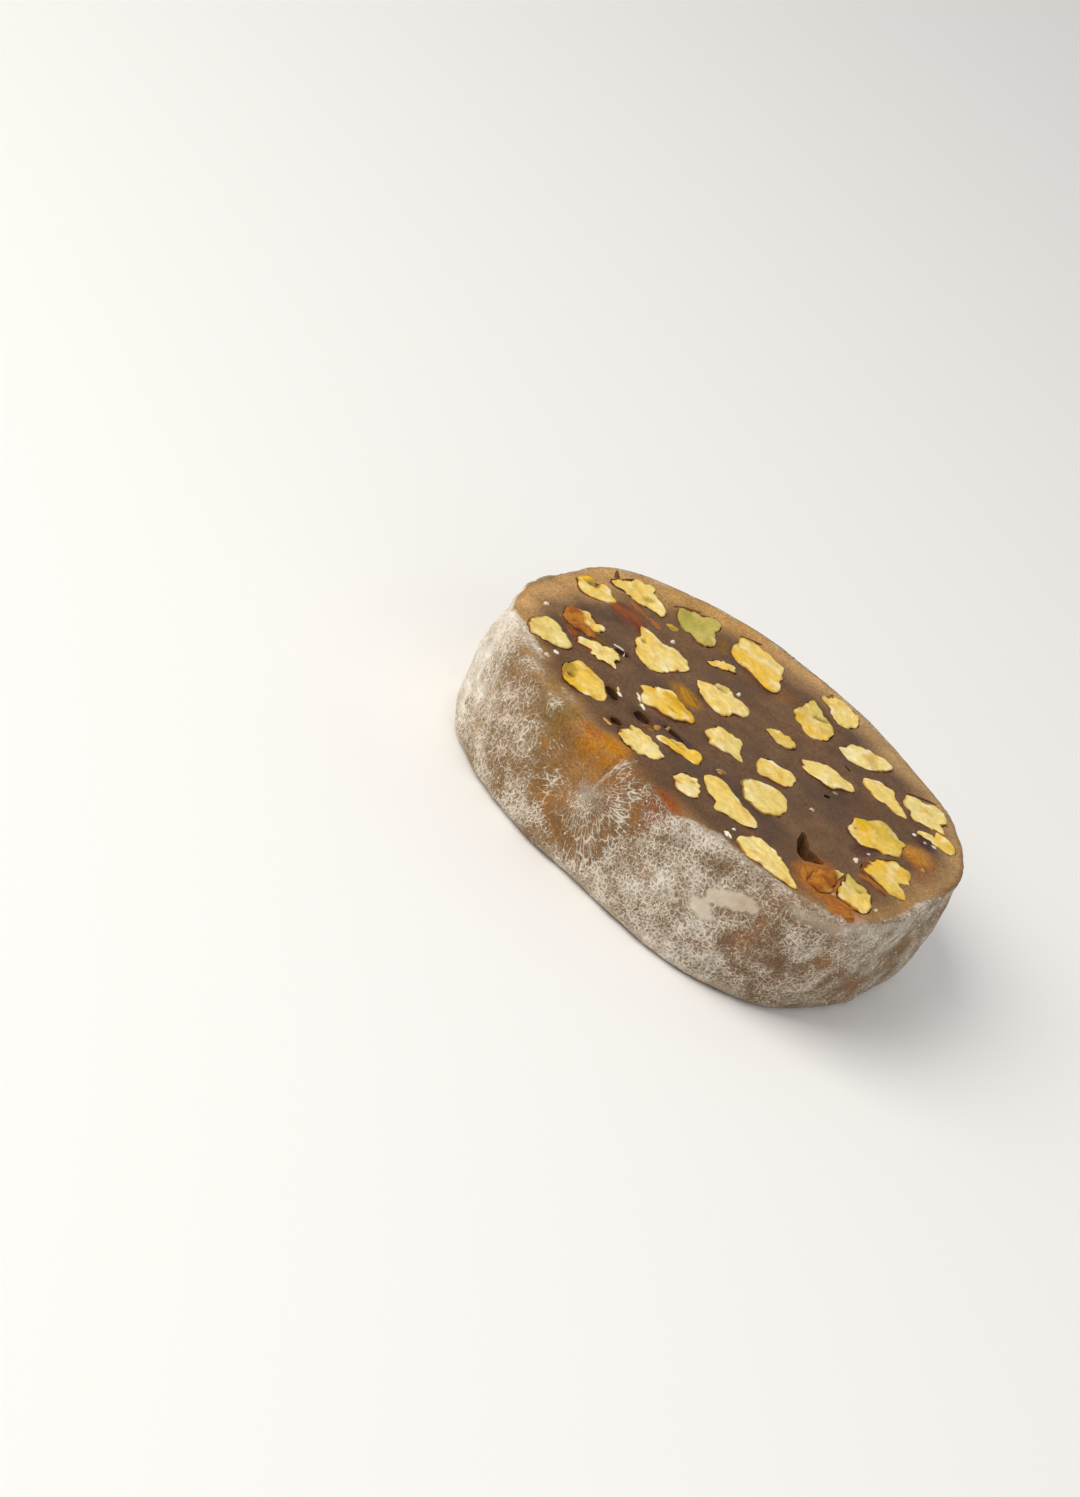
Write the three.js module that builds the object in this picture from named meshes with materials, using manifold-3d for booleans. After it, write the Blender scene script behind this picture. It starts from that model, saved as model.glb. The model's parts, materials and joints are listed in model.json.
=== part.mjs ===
// A slice of pistachio Turkish delight: a disc cut from a thick roll of starch-dusted jelly, packed
// with whole pistachio kernels that the knife went through. Millimetres, +Z up. The slice lies on its
// lower cut face, with its longest way along X, and the origin is under its middle, at the table.

import * as THREE from "three";
import { mergeVertices } from "three/addons/utils/BufferGeometryUtils.js";
import Module from "manifold-3d";

const wasm = await Module();
wasm.setup();

// ---------------------------------------------------------------- driving sizes, mm and degrees

const THICKNESS = 21; // between the two cut faces
const MEAN_REACH = 38; // from the middle to the wall, on average
const BARREL = 1.1; // how far the wall swells at half height
const BASE_ROUND = 2.2; // radius of the lower edge, pressed round by the slice's own weight
const RIM = { crisp: 0.6, soft: 2.6, softMiddle: -128, softSpread: 34 }; // radius of the upper edge
const FIT = 0.3; // gap between a kernel and the jelly that it sits in

// The upper cut edge of the roll, which was pressed out of round. One point for each change of bend.
const CUT_EDGE = [
  [40.3, 0], [38.1, -11], [34.4, -24.5], [27.6, -33.7], [13, -36], [3, -34.9], [-8, -31.6],
  [-20, -26.8], [-31.5, -19.8], [-38.4, -9], [-40.2, 1], [-36.8, 14], [-30.5, 26.2],
  [-18.5, 32.6], [-7, 34.7], [6, 32.4], [18, 28.1], [29, 20.4], [34.4, 15.9], [37.6, 10.3],
];

// Where the lower edge stands in (-) or out (+) from the upper one: towards a compass angle, by how
// much, and how wide the stretch is.
const LEANS = [
  { towards: -44, by: -3.0, spread: 17 },
  { towards: -75, by: 1.5, spread: 17 },
  { towards: -121, by: 0.9, spread: 16 },
];

// Soft folds of the skin of the roll: ridges (+) and creases (-) that run from one place on the wall
// to another. A place is a compass angle and a height.
const FOLDS = [
  { from: [-58, 15], to: [-68, 3], rise: 0.8, width: 2.2 },
  { from: [-106, 17], to: [-118, 8], rise: 0.6, width: 2.0 },
  { from: [-22, 18], to: [-30, 4], rise: -0.7, width: 2.2 },
  { from: [148, 18], to: [160, 5], rise: 0.6, width: 2.6 },
  { from: [62, 6], to: [84, 15], rise: -0.6, width: 2.6 },
  { from: [20, 4], to: [12, 16], rise: 0.6, width: 2.4 },
];
const WAVES = { rise: 0.3, around: [7, 11], up: [1, 2] }; // slow unevenness of the whole wall

const JELLY = "#6f5638"; // colour of the jelly where it is cut

// What a kernel looks like where it is cut. Colours are the cut flesh or the skin that shows.
const FLESH = {
  pale: "#ecd484",
  yellow: "#e3bf45",
  green: "#b9b05a",
  skin: "#a5662a",
};

// Kernels in the upper face: middle [x, y], flesh where it isn't pale, and how far the cut's outline is
// from the middle, towards every fifteenth degree anticlockwise from +X.
const UPPER_KERNELS = [
  { at: [-31.1, 14.4], flesh: "yellow",
    reach: [3.4, 3.4, 2.7, 2.8, 3.4, 3.4, 3.1, 2.5, 3, 3.8, 3.8, 4,
      4, 3.5, 3.6, 3.7, 3.8, 3.4, 3.1, 2.9, 2.9, 2.8, 3, 3.1] },
  { at: [-25.9, 22.8],
    reach: [4.7, 3.5, 3, 3, 4.3, 4.6, 3.4, 3.4, 3.6, 3.2, 3.1, 3.2,
      3.4, 4.6, 5.4, 5.1, 3.9, 3.6, 3.6, 4, 4.2, 4.5, 6.4, 5.8] },
  { at: [-15, 24.4], flesh: "green",
    reach: [3.3, 3, 3.7, 4.7, 5.7, 5.9, 4.4, 4, 4.1, 3.9, 4.1, 4.4,
      4, 4, 4.1, 4.2, 4.5, 4.8, 4.9, 6.2, 6.4, 5.6, 4.7, 3.4] },
  { at: [-3.9, 24.1], flesh: "yellow",
    reach: [4.9, 4.6, 5.1, 5.6, 5, 5.3, 5.6, 6.3, 6.6, 6.5, 5.1, 4.9,
      4.7, 4.8, 4.7, 4.6, 4.4, 4.3, 4.6, 5.5, 7.4, 7.4, 6.2, 4.8] },
  { at: [-7.6, 16.3], flesh: "yellow",
    reach: [1.7, 2, 2, 2.1, 2.7, 2.2, 2.2, 2, 2.1, 1.9, 2.2, 2.3,
      2.3, 2.8, 3.5, 2.8, 1.3, 1.2, 1, 0.9, 0.9, 0.8, 0.9, 0.9] },
  { at: [-17, 6.9],
    reach: [4.5, 5.1, 5, 5.6, 5.3, 5.4, 4.6, 4.7, 6.7, 7.5, 5.1, 4.9,
      4.7, 4.2, 4.5, 4.9, 4.9, 5.4, 5.6, 5, 4.5, 4, 4, 4] },
  { at: [-5.3, 6],
    reach: [4.8, 5, 5.1, 4.5, 3.7, 4, 4.5, 4.2, 4.2, 3.5, 4.3, 5,
      4.6, 4, 4.2, 4, 4.1, 4.3, 4.6, 4.8, 4.5, 3.8, 3.8, 4.5] },
  { at: [-30.2, 2.4], flesh: "skin",
    reach: [3.6, 4.1, 4.3, 3.4, 3.1, 3.2, 3.9, 3.1, 3.3, 3.7, 3.6, 3.3,
      3.1, 3.1, 3.3, 3.5, 3.6, 3.4, 3.9, 3.4, 4, 4.4, 4.1, 2.8] },
  { at: [11.5, 25.2],
    reach: [3.7, 3.6, 3.8, 4.1, 4.1, 4.1, 4.3, 4.8, 5.3, 4.2, 4.4, 4,
      2.5, 2, 1.8, 2.1, 2.4, 2.7, 3.3, 3.9, 4.2, 3.9, 3.8, 3.7] },
  { at: [8.9, 16.7], flesh: "yellow",
    reach: [3.6, 3.7, 3.9, 4, 4.1, 4.3, 5.5, 7.6, 5.6, 4.3, 4.1, 4,
      4, 3.5, 3.7, 3.6, 3.3, 4.2, 4.8, 4.8, 4.5, 4.3, 3.9, 3.6] },
  { at: [18.6, 16],
    reach: [3.5, 4.4, 5.3, 4.9, 4.6, 3.7, 3.8, 3.2, 3.3, 3.3, 3.5, 3.5,
      3.6, 4.7, 4.4, 4.1, 4.1, 3.3, 3.1, 3, 2.9, 2.9, 3, 3.1] },
  { at: [23.5, 8.9],
    reach: [3.5, 2.8, 2.6, 2.8, 3.4, 3.5, 3.2, 3.5, 3.5, 3.4, 3.5, 3.8,
      3.6, 3.5, 3, 2.7, 2.7, 2.7, 2.7, 2.7, 2.8, 4.9, 6.2, 4.6] },
  { at: [30.8, 11.1],
    reach: [3.5, 4.1, 4.3, 4.6, 4.9, 4.8, 4, 3.7, 4.1, 4.4, 4.4, 3.9,
      3.9, 3.9, 3.7, 3.2, 3.8, 4.4, 3.8, 3.8, 4.2, 4.2, 5.4, 3.8] },
  { at: [34.5, 5.1], flesh: "yellow",
    reach: [3.6, 3.5, 3.6, 3.3, 2.9, 2.9, 2.7, 2.6, 1.2, 1.4, 1.7, 1.9,
      3.2, 3.5, 3.3, 2.1, 1.8, 1.8, 1.7, 1.6, 1.7, 2.3, 3.3, 3.3] },
  { at: [5.9, 5.9], flesh: "yellow",
    reach: [2.6, 2.6, 2.4, 2.2, 2.2, 2.2, 1.7, 2.2, 2.6, 2.5, 2.6, 2.9,
      3.1, 2.5, 2.2, 2.2, 2.1, 2.1, 2.2, 2.3, 2.5, 2.5, 2.5, 2.6] },
  { at: [14.8, 3.6],
    reach: [4.8, 4.9, 4.3, 3.2, 3.2, 3.2, 3.3, 3.1, 2.8, 3.1, 3.4, 3.9,
      5, 4.6, 4.4, 3.9, 3.2, 2.8, 3.1, 3.3, 3.5, 3.1, 3.2, 3.9] },
  { at: [-32.9, -6.9],
    reach: [4.2, 3.4, 3.2, 3.4, 3.1, 3.6, 3.8, 4, 3.9, 3.5, 3.5, 3.6,
      3.7, 3.6, 4, 3.9, 4.6, 3.5, 3.7, 3.5, 3.8, 3.9, 4.2, 4.3] },
  { at: [-25.1, -3.1],
    reach: [3.2, 3.7, 3.8, 3.7, 3.3, 2.5, 1.9, 2.1, 2.1, 2.1, 2.4, 3.7,
      4, 3.8, 4.2, 2.3, 2.4, 2.5, 2.4, 3, 2.9, 3.4, 4.7, 3] },
  { at: [-24.2, -13.9], flesh: "yellow",
    reach: [3.6, 3.6, 3.6, 3.8, 3.6, 3.5, 4, 4.5, 5, 4.4, 4.1, 4.1,
      4, 3.9, 3.9, 4.3, 4.7, 4.5, 4.5, 4.5, 4.4, 4.9, 5, 4.5] },
  { at: [-11.9, -5.4], flesh: "yellow",
    reach: [5, 4.5, 3.5, 3.5, 3.4, 3.4, 3.9, 4.1, 4, 4, 4, 4.6,
      5, 4.3, 4.7, 5.3, 5.4, 4.1, 4.2, 4.2, 4.4, 4.3, 4.4, 5.1] },
  { at: [-1.4, -6],
    reach: [3, 3, 3.2, 3.8, 4.1, 3.6, 3.5, 4, 4.3, 3.4, 3.2, 3.2,
      3.3, 3.5, 3.3, 3.1, 3.6, 3.2, 3, 3.1, 2.9, 4, 5, 3.4] },
  { at: [-6.3, -16.1], flesh: "yellow",
    reach: [3.8, 3.8, 3.7, 2.6, 1.6, 1.9, 2, 2, 1.9, 2, 2.4, 2.7,
      3.7, 4.3, 3.2, 2.2, 2, 1.9, 1.7, 1.6, 1.7, 2.2, 3.4, 4] },
  { at: [-11.7, -21.4],
    reach: [4.1, 3.4, 3.2, 3, 2.7, 3.2, 2.8, 4, 3.9, 4.2, 3.1, 3.4,
      4, 3.9, 3.7, 3.9, 3.8, 3.7, 3.8, 3.6, 3.6, 3.6, 4, 4] },
  { at: [-2.6, -24.8],
    reach: [2.5, 2.6, 2.4, 2.8, 2.9, 3.8, 3.3, 3.4, 2.9, 2.6, 2.4, 2.3,
      2.5, 2.3, 2.2, 2.4, 3, 3.4, 3.3, 3.2, 3.3, 3.3, 3, 2.5] },
  { at: [3.9, -22],
    reach: [4.6, 3.3, 2.7, 2.6, 2.8, 2.8, 3.3, 4.3, 5.7, 6, 5.8, 4.8,
      4, 3.5, 3.4, 3.1, 3.2, 4.9, 4.4, 4.2, 4.7, 5.7, 6.3, 6] },
  { at: [7.9, -5.5],
    reach: [3.1, 3.2, 3.7, 3.8, 3.7, 3, 3.1, 3.1, 3.6, 3.6, 3.8, 3.6,
      3.5, 3.6, 3.6, 3.8, 3.7, 2.9, 2.8, 2.7, 3, 3.2, 3.1, 3.2] },
  { at: [8.1, -14.4],
    reach: [4.1, 4.1, 4.2, 4.5, 4.6, 4.3, 4.2, 3.9, 4.1, 4.2, 4.1, 4.2,
      4.2, 3.7, 3.9, 4.1, 4.6, 4.4, 4.9, 5, 4.6, 4.5, 4.3, 3.9] },
  { at: [25.8, -4.7], flesh: "yellow",
    reach: [4.8, 4.7, 5.6, 5, 4.9, 5, 5, 4.4, 3.6, 3.5, 4.1, 4.4,
      4.1, 4.3, 5.3, 5.8, 5.8, 6.2, 5.3, 4.6, 4.8, 4.6, 5, 5] },
  { at: [30.2, -13.6], flesh: "yellow",
    reach: [2.6, 3.8, 3.9, 4.7, 5.5, 5, 5.4, 4.1, 3.8, 3.7, 3.2, 3.1,
      3.7, 4.4, 4.9, 5.5, 4.5, 4.5, 4.4, 5.2, 5.7, 5.8, 3.6, 2.2] },
  { at: [27.3, -24.8],
    reach: [2.7, 2.7, 2.7, 3, 3, 3.4, 3.7, 3.8, 5.1, 3.6, 2.9, 3,
      2.7, 2.8, 3.3, 3.8, 4.7, 4.3, 4.5, 4.8, 4.6, 4.1, 3.5, 3.1] },
  { at: [21.3, -26.6], flesh: "skin",
    reach: [2.6, 2.8, 3.2, 3.7, 6, 4.4, 3.3, 2.6, 1.5, 1.1, 1.3, 1.3,
      1.3, 1.3, 1.5, 1.8, 3, 3.4, 3.6, 4.2, 3.7, 3.5, 3.1, 2.9] },
  { at: [13.6, -30.8],
    reach: [3.6, 3.5, 3.2, 2.6, 2.8, 3.1, 3.5, 3.7, 5.2, 5.4, 5.1, 5.7,
      5.7, 5.2, 4.4, 4.3, 3.3, 2.9, 3.3, 3.5, 4.2, 5, 6.6, 4.5] },
];
const KERNEL_DEPTH = 0.52; // depth of a cut kernel, as a share of the narrowest way across the cut

// An air pocket that opens in the upper face as a bent slit, given as the kernels are.
const AIR_POCKET = {
  at: [17.5, -22.3], depth: 3.4,
  reach: [3.4, 3.7, 2.8, 2.4, 2.2, 2.2, 3.6, 6.4, 3.6, 2.4, 1.7, 1.4,
    1.3, 1.2, 1.2, 1.4, 1.5, 1.7, 2.0, 2.4, 2.3, 2.3, 2.5, 2.9],
};

// Kernels in the lower face, which lies on the table: as many and as large as on the upper one, with
// outlines borrowed from there, in places and turns drawn by chance. They stop just short of the
// table, and the middle is left to bare jelly.
const LOWER_KERNELS = {
  count: 26, seed: 27, tries: 9000, largest: [0.9, 1.1], paleShare: 0.6,
  edgeGap: 2.9, gap: 0.9, bareMiddle: 3, recess: 0.25,
};

// How finely the forms are made.
const STEPS_ROUND = 96; // facets round the wall
const EDGE_POINTS = 720; // points read off the cut edge's curve
const BOWL_RING = 55; // where the one ring of a kernel's bowl lies, in degrees from its deepest point
const OVERRUN = 1; // how far a pocket's tool runs on past the face, mm
const SAME_POINT = 1e-4; // corners nearer than this are one, mm

// ---------------------------------------------------------------- helpers

const radians = THREE.MathUtils.degToRad;
const degrees = THREE.MathUtils.radToDeg;
const mix = THREE.MathUtils.lerp;

// A repeatable stream of numbers from 0 to 1.
function drawsFrom(seed) {
  let state = seed;
  return () => {
    state = (state * 1664525 + 1013904223) % 4294967296;
    return state / 4294967296;
  };
}

// 1 at the middle of a stretch of angles and falling to 0 outside it.
function lobe(angle, middle, spread) {
  const away = ((angle - middle + 540) % 360) - 180;
  return Math.exp(-((away / spread) ** 2));
}

// The solid inside a closed geometry.
function solidOf(geometry) {
  const bare = geometry.clone();
  bare.deleteAttribute("normal");
  bare.deleteAttribute("uv");
  const merged = mergeVertices(bare, SAME_POINT);
  const corners = [];
  const index = merged.index.array;
  for (let i = 0; i < index.length; i += 3) {
    const [a, b, c] = [index[i], index[i + 1], index[i + 2]];
    if (a !== b && b !== c && c !== a) corners.push(a, b, c);
  }
  return new wasm.Manifold(new wasm.Mesh({
    numProp: 3,
    vertProperties: merged.attributes.position.array,
    triVerts: new Uint32Array(corners),
  }));
}

// The geometry of a solid, with flat facets.
function geometryOf(solid) {
  const mesh = solid.getMesh();
  const geometry = new THREE.BufferGeometry();
  geometry.setAttribute("position", new THREE.BufferAttribute(mesh.vertProperties, 3));
  geometry.setIndex(new THREE.BufferAttribute(mesh.triVerts, 1));
  const faceted = geometry.toNonIndexed();
  faceted.computeVertexNormals();
  return faceted;
}

// A form turned from a profile of [radius, height] and then reshaped: place(angle, radius, height)
// says where each of its points goes.
function turned(profile, steps, place) {
  const lathe = new THREE.LatheGeometry(profile.map(([r, z]) => new THREE.Vector2(r, z)), steps);
  lathe.rotateX(Math.PI / 2);
  const points = lathe.attributes.position;
  const p = new THREE.Vector3();
  for (let i = 0; i < points.count; i++) {
    p.fromBufferAttribute(points, i);
    const radius = Math.hypot(p.x, p.y);
    const angle = radius < SAME_POINT ? 0 : Math.atan2(p.y, p.x);
    p.fromArray(place(angle, radius, p.z));
    points.setXYZ(i, p.x, p.y, p.z);
  }
  return lathe;
}

// ---------------------------------------------------------------- the slice

const cutEdge = new THREE.CatmullRomCurve3(
  CUT_EDGE.map(([x, y]) => new THREE.Vector3(x, y, 0)), true, "centripetal");
const edgePoints = cutEdge.getPoints(EDGE_POINTS)
  .map((p) => ({ angle: degrees(Math.atan2(p.y, p.x)), reach: Math.hypot(p.x, p.y) }))
  .sort((a, b) => a.angle - b.angle);

// How far the upper cut edge is from the middle, towards an angle in degrees.
function reachOf(angle) {
  const turn = ((angle + 540) % 360) - 180;
  const next = edgePoints.findIndex((p) => p.angle >= turn);
  const after = edgePoints[next < 0 ? 0 : next];
  const before = edgePoints[next <= 0 ? edgePoints.length - 1 : next - 1];
  const gap = (after.angle - before.angle + 360) % 360 || 1;
  const along = ((turn - before.angle + 360) % 360) / gap;
  return mix(before.reach, after.reach, along);
}

// How far a fold lifts the wall at an angle and a height.
function foldLift(fold, angle, height) {
  const scale = radians(MEAN_REACH); // a degree round the wall, in mm
  const along = [(fold.to[0] - fold.from[0]) * scale, fold.to[1] - fold.from[1]];
  const away = [(((angle - fold.from[0] + 540) % 360) - 180) * scale, height - fold.from[1]];
  const length = Math.hypot(...along);
  const t = (away[0] * along[0] + away[1] * along[1]) / length ** 2;
  const nearest = THREE.MathUtils.clamp(t, 0, 1);
  const off = Math.hypot(away[0] - along[0] * nearest, away[1] - along[1] * nearest);
  return fold.rise * Math.exp(-((off / fold.width) ** 2));
}

// How far the wall stands from the middle at an angle and a height, before its edges are rounded.
function wallReach(angle, height) {
  const up = height / THICKNESS;
  const lean = LEANS.reduce((sum, l) => sum + l.by * lobe(angle, l.towards, l.spread), 0);
  const swell = BARREL * 4 * up * (1 - up);
  const fade = Math.sin(Math.PI * up);
  const wave = WAVES.around.reduce((sum, n, i) =>
    sum + Math.sin(radians(angle) * n + i) * Math.cos(Math.PI * up * WAVES.up[i]), 0);
  const folds = FOLDS.reduce((sum, f) => sum + foldLift(f, angle, height), 0);
  return reachOf(angle) + lean * (1 - up) + swell + WAVES.rise * wave * fade + folds * fade;
}

const rimRadius = (angle) =>
  mix(RIM.crisp, RIM.soft, lobe(angle, RIM.softMiddle, RIM.softSpread));

// The wall's profile as [how much of the rounding's inset, height share from 0 to 1 in each zone]:
// the round lower edge, the standing wall, and the rim.
const ARC = [0, 0.5, 1].map((t) => t * Math.PI / 2);
const WALL_STEPS = [0.25, 0.5, 0.75];
const PROFILE = [
  { zone: "axis", z: 0 },
  ...ARC.map((a) => ({ zone: "base", inset: 1 - Math.sin(a), rise: 1 - Math.cos(a) })),
  ...WALL_STEPS.map((t) => ({ zone: "wall", t })),
  ...ARC.map((a) => ({ zone: "rim", inset: 1 - Math.cos(a), rise: Math.sin(a) })),
  { zone: "axis", z: THICKNESS },
];

// Where a point of the profile goes at an angle: its reach and its height.
function onWall(step, angle) {
  if (step.zone === "axis") return [0, step.z];
  const rim = rimRadius(angle);
  const top = THICKNESS - rim;
  if (step.zone === "wall") {
    const height = mix(BASE_ROUND, top, step.t);
    return [wallReach(angle, height), height];
  }
  const height = step.zone === "base" ? BASE_ROUND * step.rise : top + rim * step.rise;
  const inset = step.inset * (step.zone === "base" ? BASE_ROUND : rim);
  return [wallReach(angle, height) - inset, height];
}

// The lathe turns a plain column whose heights are only step numbers; each point is then moved.
function sliceForm() {
  const column = PROFILE.map((step, i) => [step.zone === "axis" ? 0 : 1, i]);
  return turned(column, STEPS_ROUND, (angle, radius, number) => {
    const [reach, height] = onWall(PROFILE[Math.round(number)], degrees(angle));
    return [reach * Math.cos(angle), reach * Math.sin(angle), height];
  });
}

// ---------------------------------------------------------------- the kernels

// How far an outline is from its middle towards an angle in degrees, from its row of reaches.
function reachTowards(reach, angle) {
  const place = (((angle % 360) + 360) % 360) / 360 * reach.length;
  const before = Math.floor(place) % reach.length;
  return mix(reach[before], reach[(before + 1) % reach.length], place - Math.floor(place));
}

// How deep a kernel goes into the jelly: a share of the narrowest way across it, through its middle.
function depthOf(reach) {
  const half = reach.length / 2;
  return KERNEL_DEPTH * Math.min(...reach.slice(0, half).map((r, i) => r + reach[i + half]));
}

// A kernel cut off by the face, as a bowl below a level top. up is +1 for the upper face and -1 for
// the lower one, level the height of the cut, and over how far the form runs on past it.
function kernelForm(kernel, { up, level, margin = 0, over = 0 }) {
  const { at, reach, turn = 0, depth = depthOf(reach) } = kernel;
  const deepest = depth + margin;
  const ring = [Math.sin(radians(BOWL_RING)), -deepest * Math.cos(radians(BOWL_RING))];
  const profile = [[0, -deepest], ring, [1, 0], ...(over ? [[1, over]] : []), [0, over]];
  return turned(profile, reach.length, (angle, share, z) => {
    const away = share * (reachTowards(reach, degrees(angle)) + margin);
    const towards = angle + radians(turn);
    return [at[0] + away * Math.cos(towards), at[1] + away * Math.sin(towards), level + up * z];
  });
}

// A lower kernel's pocket is deeper than the kernel by as much as the kernel stops short of the table.
const deepened = (kernel) => ({ ...kernel, depth: depthOf(kernel.reach) + LOWER_KERNELS.recess });

// Turned upside down, a form's faces point inwards, so each triangle is turned round.
function flipped(geometry) {
  const index = geometry.index.array;
  for (let i = 0; i < index.length; i += 3) [index[i + 1], index[i + 2]] = [index[i + 2], index[i + 1]];
  return geometry;
}

// The corners of a kernel's outline.
function cornersOf({ at, reach, turn }) {
  return reach.map((r, i) => {
    const towards = radians(turn + i * 360 / reach.length);
    return [at[0] + r * Math.cos(towards), at[1] + r * Math.sin(towards)];
  });
}

// Whether every corner of one kernel stays further than a gap outside the outline of another.
function clearOf(kernel, other, gap) {
  return cornersOf(kernel).every(([x, y]) => {
    const [dx, dy] = [x - other.at[0], y - other.at[1]];
    const towards = degrees(Math.atan2(dy, dx)) - other.turn;
    return Math.hypot(dx, dy) > reachTowards(other.reach, towards) + gap;
  });
}

// Random places for the kernels of the lower face, each clear of the wall and of the others.
function scatteredKernels({ count, seed, tries, largest, paleShare, edgeGap, gap, bareMiddle }) {
  const draw = drawsFrom(seed);
  const placed = [];
  for (let i = 0; i < tries && placed.length < count; i++) {
    const model = UPPER_KERNELS[Math.floor(draw() * UPPER_KERNELS.length)];
    const scale = mix(...largest, draw());
    const reach = model.reach.map((r) => r * scale);
    const [angle, share, turn] = [draw() * 360 - 180, Math.sqrt(draw()), draw() * 360];
    const far = share * reachOf(angle);
    const at = [far * Math.cos(radians(angle)), far * Math.sin(radians(angle))];
    const flesh = draw() < paleShare ? "pale" : "yellow";
    const kernel = { at, reach, turn, flesh };
    const inside = cornersOf(kernel).every(([x, y]) => {
      const towards = degrees(Math.atan2(y, x));
      return Math.hypot(x, y) + edgeGap < reachOf(towards) + leanAt(towards);
    });
    const offMiddle = far > Math.max(...reach) + bareMiddle;
    const apart = placed.every((k) => clearOf(kernel, k, gap) && clearOf(k, kernel, gap));
    if (inside && offMiddle && apart) placed.push(kernel);
  }
  return placed;
}

// How far the foot of the wall stands in from the upper cut edge, as a number below 0.
function leanAt(angle) {
  return Math.min(0, ...LEANS.map((l) => l.by * lobe(angle, l.towards, l.spread)));
}

// ---------------------------------------------------------------- assembly

const UP = { up: 1, level: THICKNESS };
const DOWN = { up: -1, level: 0 };
const ROUGHNESS = { jelly: 0.45, kernel: 0.55 };

const pieces = new THREE.Group();

function add(name, geometry, color, roughness) {
  const material = new THREE.MeshStandardMaterial({ color, roughness, metalness: 0 });
  const mesh = new THREE.Mesh(geometry, material);
  mesh.name = name;
  pieces.add(mesh);
  return mesh;
}

const numbered = (word, i) => `${word}_${String(i + 1).padStart(2, "0")}`;

const lowerKernels = scatteredKernels(LOWER_KERNELS);
const pocketTool = { margin: FIT, over: OVERRUN };
const pockets = [
  ...UPPER_KERNELS.map((k) => kernelForm(k, { ...UP, ...pocketTool })),
  kernelForm(AIR_POCKET, { ...UP, over: OVERRUN }),
  ...lowerKernels.map((k) => flipped(kernelForm(deepened(k), { ...DOWN, ...pocketTool }))),
].map(solidOf);

const jelly = pockets.reduce((solid, pocket) => solid.subtract(pocket), solidOf(sliceForm()));
const body = add("jelly", geometryOf(jelly), JELLY, ROUGHNESS.jelly);

UPPER_KERNELS.forEach((kernel, i) => {
  const cut = geometryOf(solidOf(kernelForm(kernel, UP)));
  add(numbered("kernel_upper", i), cut, FLESH[kernel.flesh ?? "pale"], ROUGHNESS.kernel);
});

lowerKernels.forEach((kernel, i) => {
  const form = flipped(kernelForm(kernel, { ...DOWN, level: LOWER_KERNELS.recess }));
  const cut = geometryOf(solidOf(form));
  add(numbered("kernel_lower", i), cut, FLESH[kernel.flesh], ROUGHNESS.kernel);
});

// The sizes above count from the middle of the cut; the part counts from under its own box's middle.
const middle = new THREE.Box3().setFromObject(body).getCenter(new THREE.Vector3());
pieces.position.set(-middle.x, -middle.y, 0);

const slice = new THREE.Group();
slice.name = "pistachio_slice";
slice.add(pieces);

export default slice;
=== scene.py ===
"""A round slice of pistachio Turkish delight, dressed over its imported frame.

The slice was cut from a thick roll of starch jelly, packed with whole pistachio kernels. The jelly is one
closed mesh with a socket for each kernel, the kernels are separate pieces, and the starch that dusts the wall
and the crumbs on the cut face are scattered over them. Sizes are millimetres until a mesh is made.
"""

import json
import logging
import math
from collections.abc import Mapping, Sequence
from dataclasses import dataclass, field
from enum import Enum

import bmesh
import bpy
import numpy as np
from mathutils import Matrix, Vector
from mathutils.bvhtree import BVHTree


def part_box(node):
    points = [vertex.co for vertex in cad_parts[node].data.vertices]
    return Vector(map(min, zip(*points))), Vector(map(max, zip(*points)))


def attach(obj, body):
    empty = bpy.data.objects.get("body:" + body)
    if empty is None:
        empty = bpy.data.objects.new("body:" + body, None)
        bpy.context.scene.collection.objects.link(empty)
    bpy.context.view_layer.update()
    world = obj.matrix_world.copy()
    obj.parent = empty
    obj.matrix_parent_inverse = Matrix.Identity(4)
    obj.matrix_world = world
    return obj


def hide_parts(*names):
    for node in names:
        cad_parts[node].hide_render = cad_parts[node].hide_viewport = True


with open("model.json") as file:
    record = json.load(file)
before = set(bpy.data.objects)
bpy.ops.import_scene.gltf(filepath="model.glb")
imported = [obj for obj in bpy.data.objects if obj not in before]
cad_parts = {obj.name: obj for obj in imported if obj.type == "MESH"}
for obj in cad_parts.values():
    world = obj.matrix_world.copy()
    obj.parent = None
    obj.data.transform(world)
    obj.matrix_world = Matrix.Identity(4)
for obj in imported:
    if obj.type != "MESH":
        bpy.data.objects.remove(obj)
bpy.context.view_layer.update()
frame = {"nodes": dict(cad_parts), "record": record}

log = logging.getLogger("turkish_delight")

MM = 0.001  # one millimetre in Blender's metres
BODY = "root"

# The middle that places on the cut faces count from, in the part's frame, mm.
CUT_MIDDLE = np.array([0.197, 1.140])
MEAN_REACH = 38.0  # from the middle to the wall on average, mm
FLOOR_GAP = 0.03  # nothing small comes nearer to the table, mm
ROUGH = 0.65  # roughness of the noise in the finishes

Colour = tuple[float, float, float, float]
Form = tuple[np.ndarray, list[tuple[int, ...]]]  # points in mm and faces that point outwards
NodeTree, Node, Socket = bpy.types.NodeTree, bpy.types.Node, bpy.types.NodeSocket


# ---------------------------------------------------------------- small helpers


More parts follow.
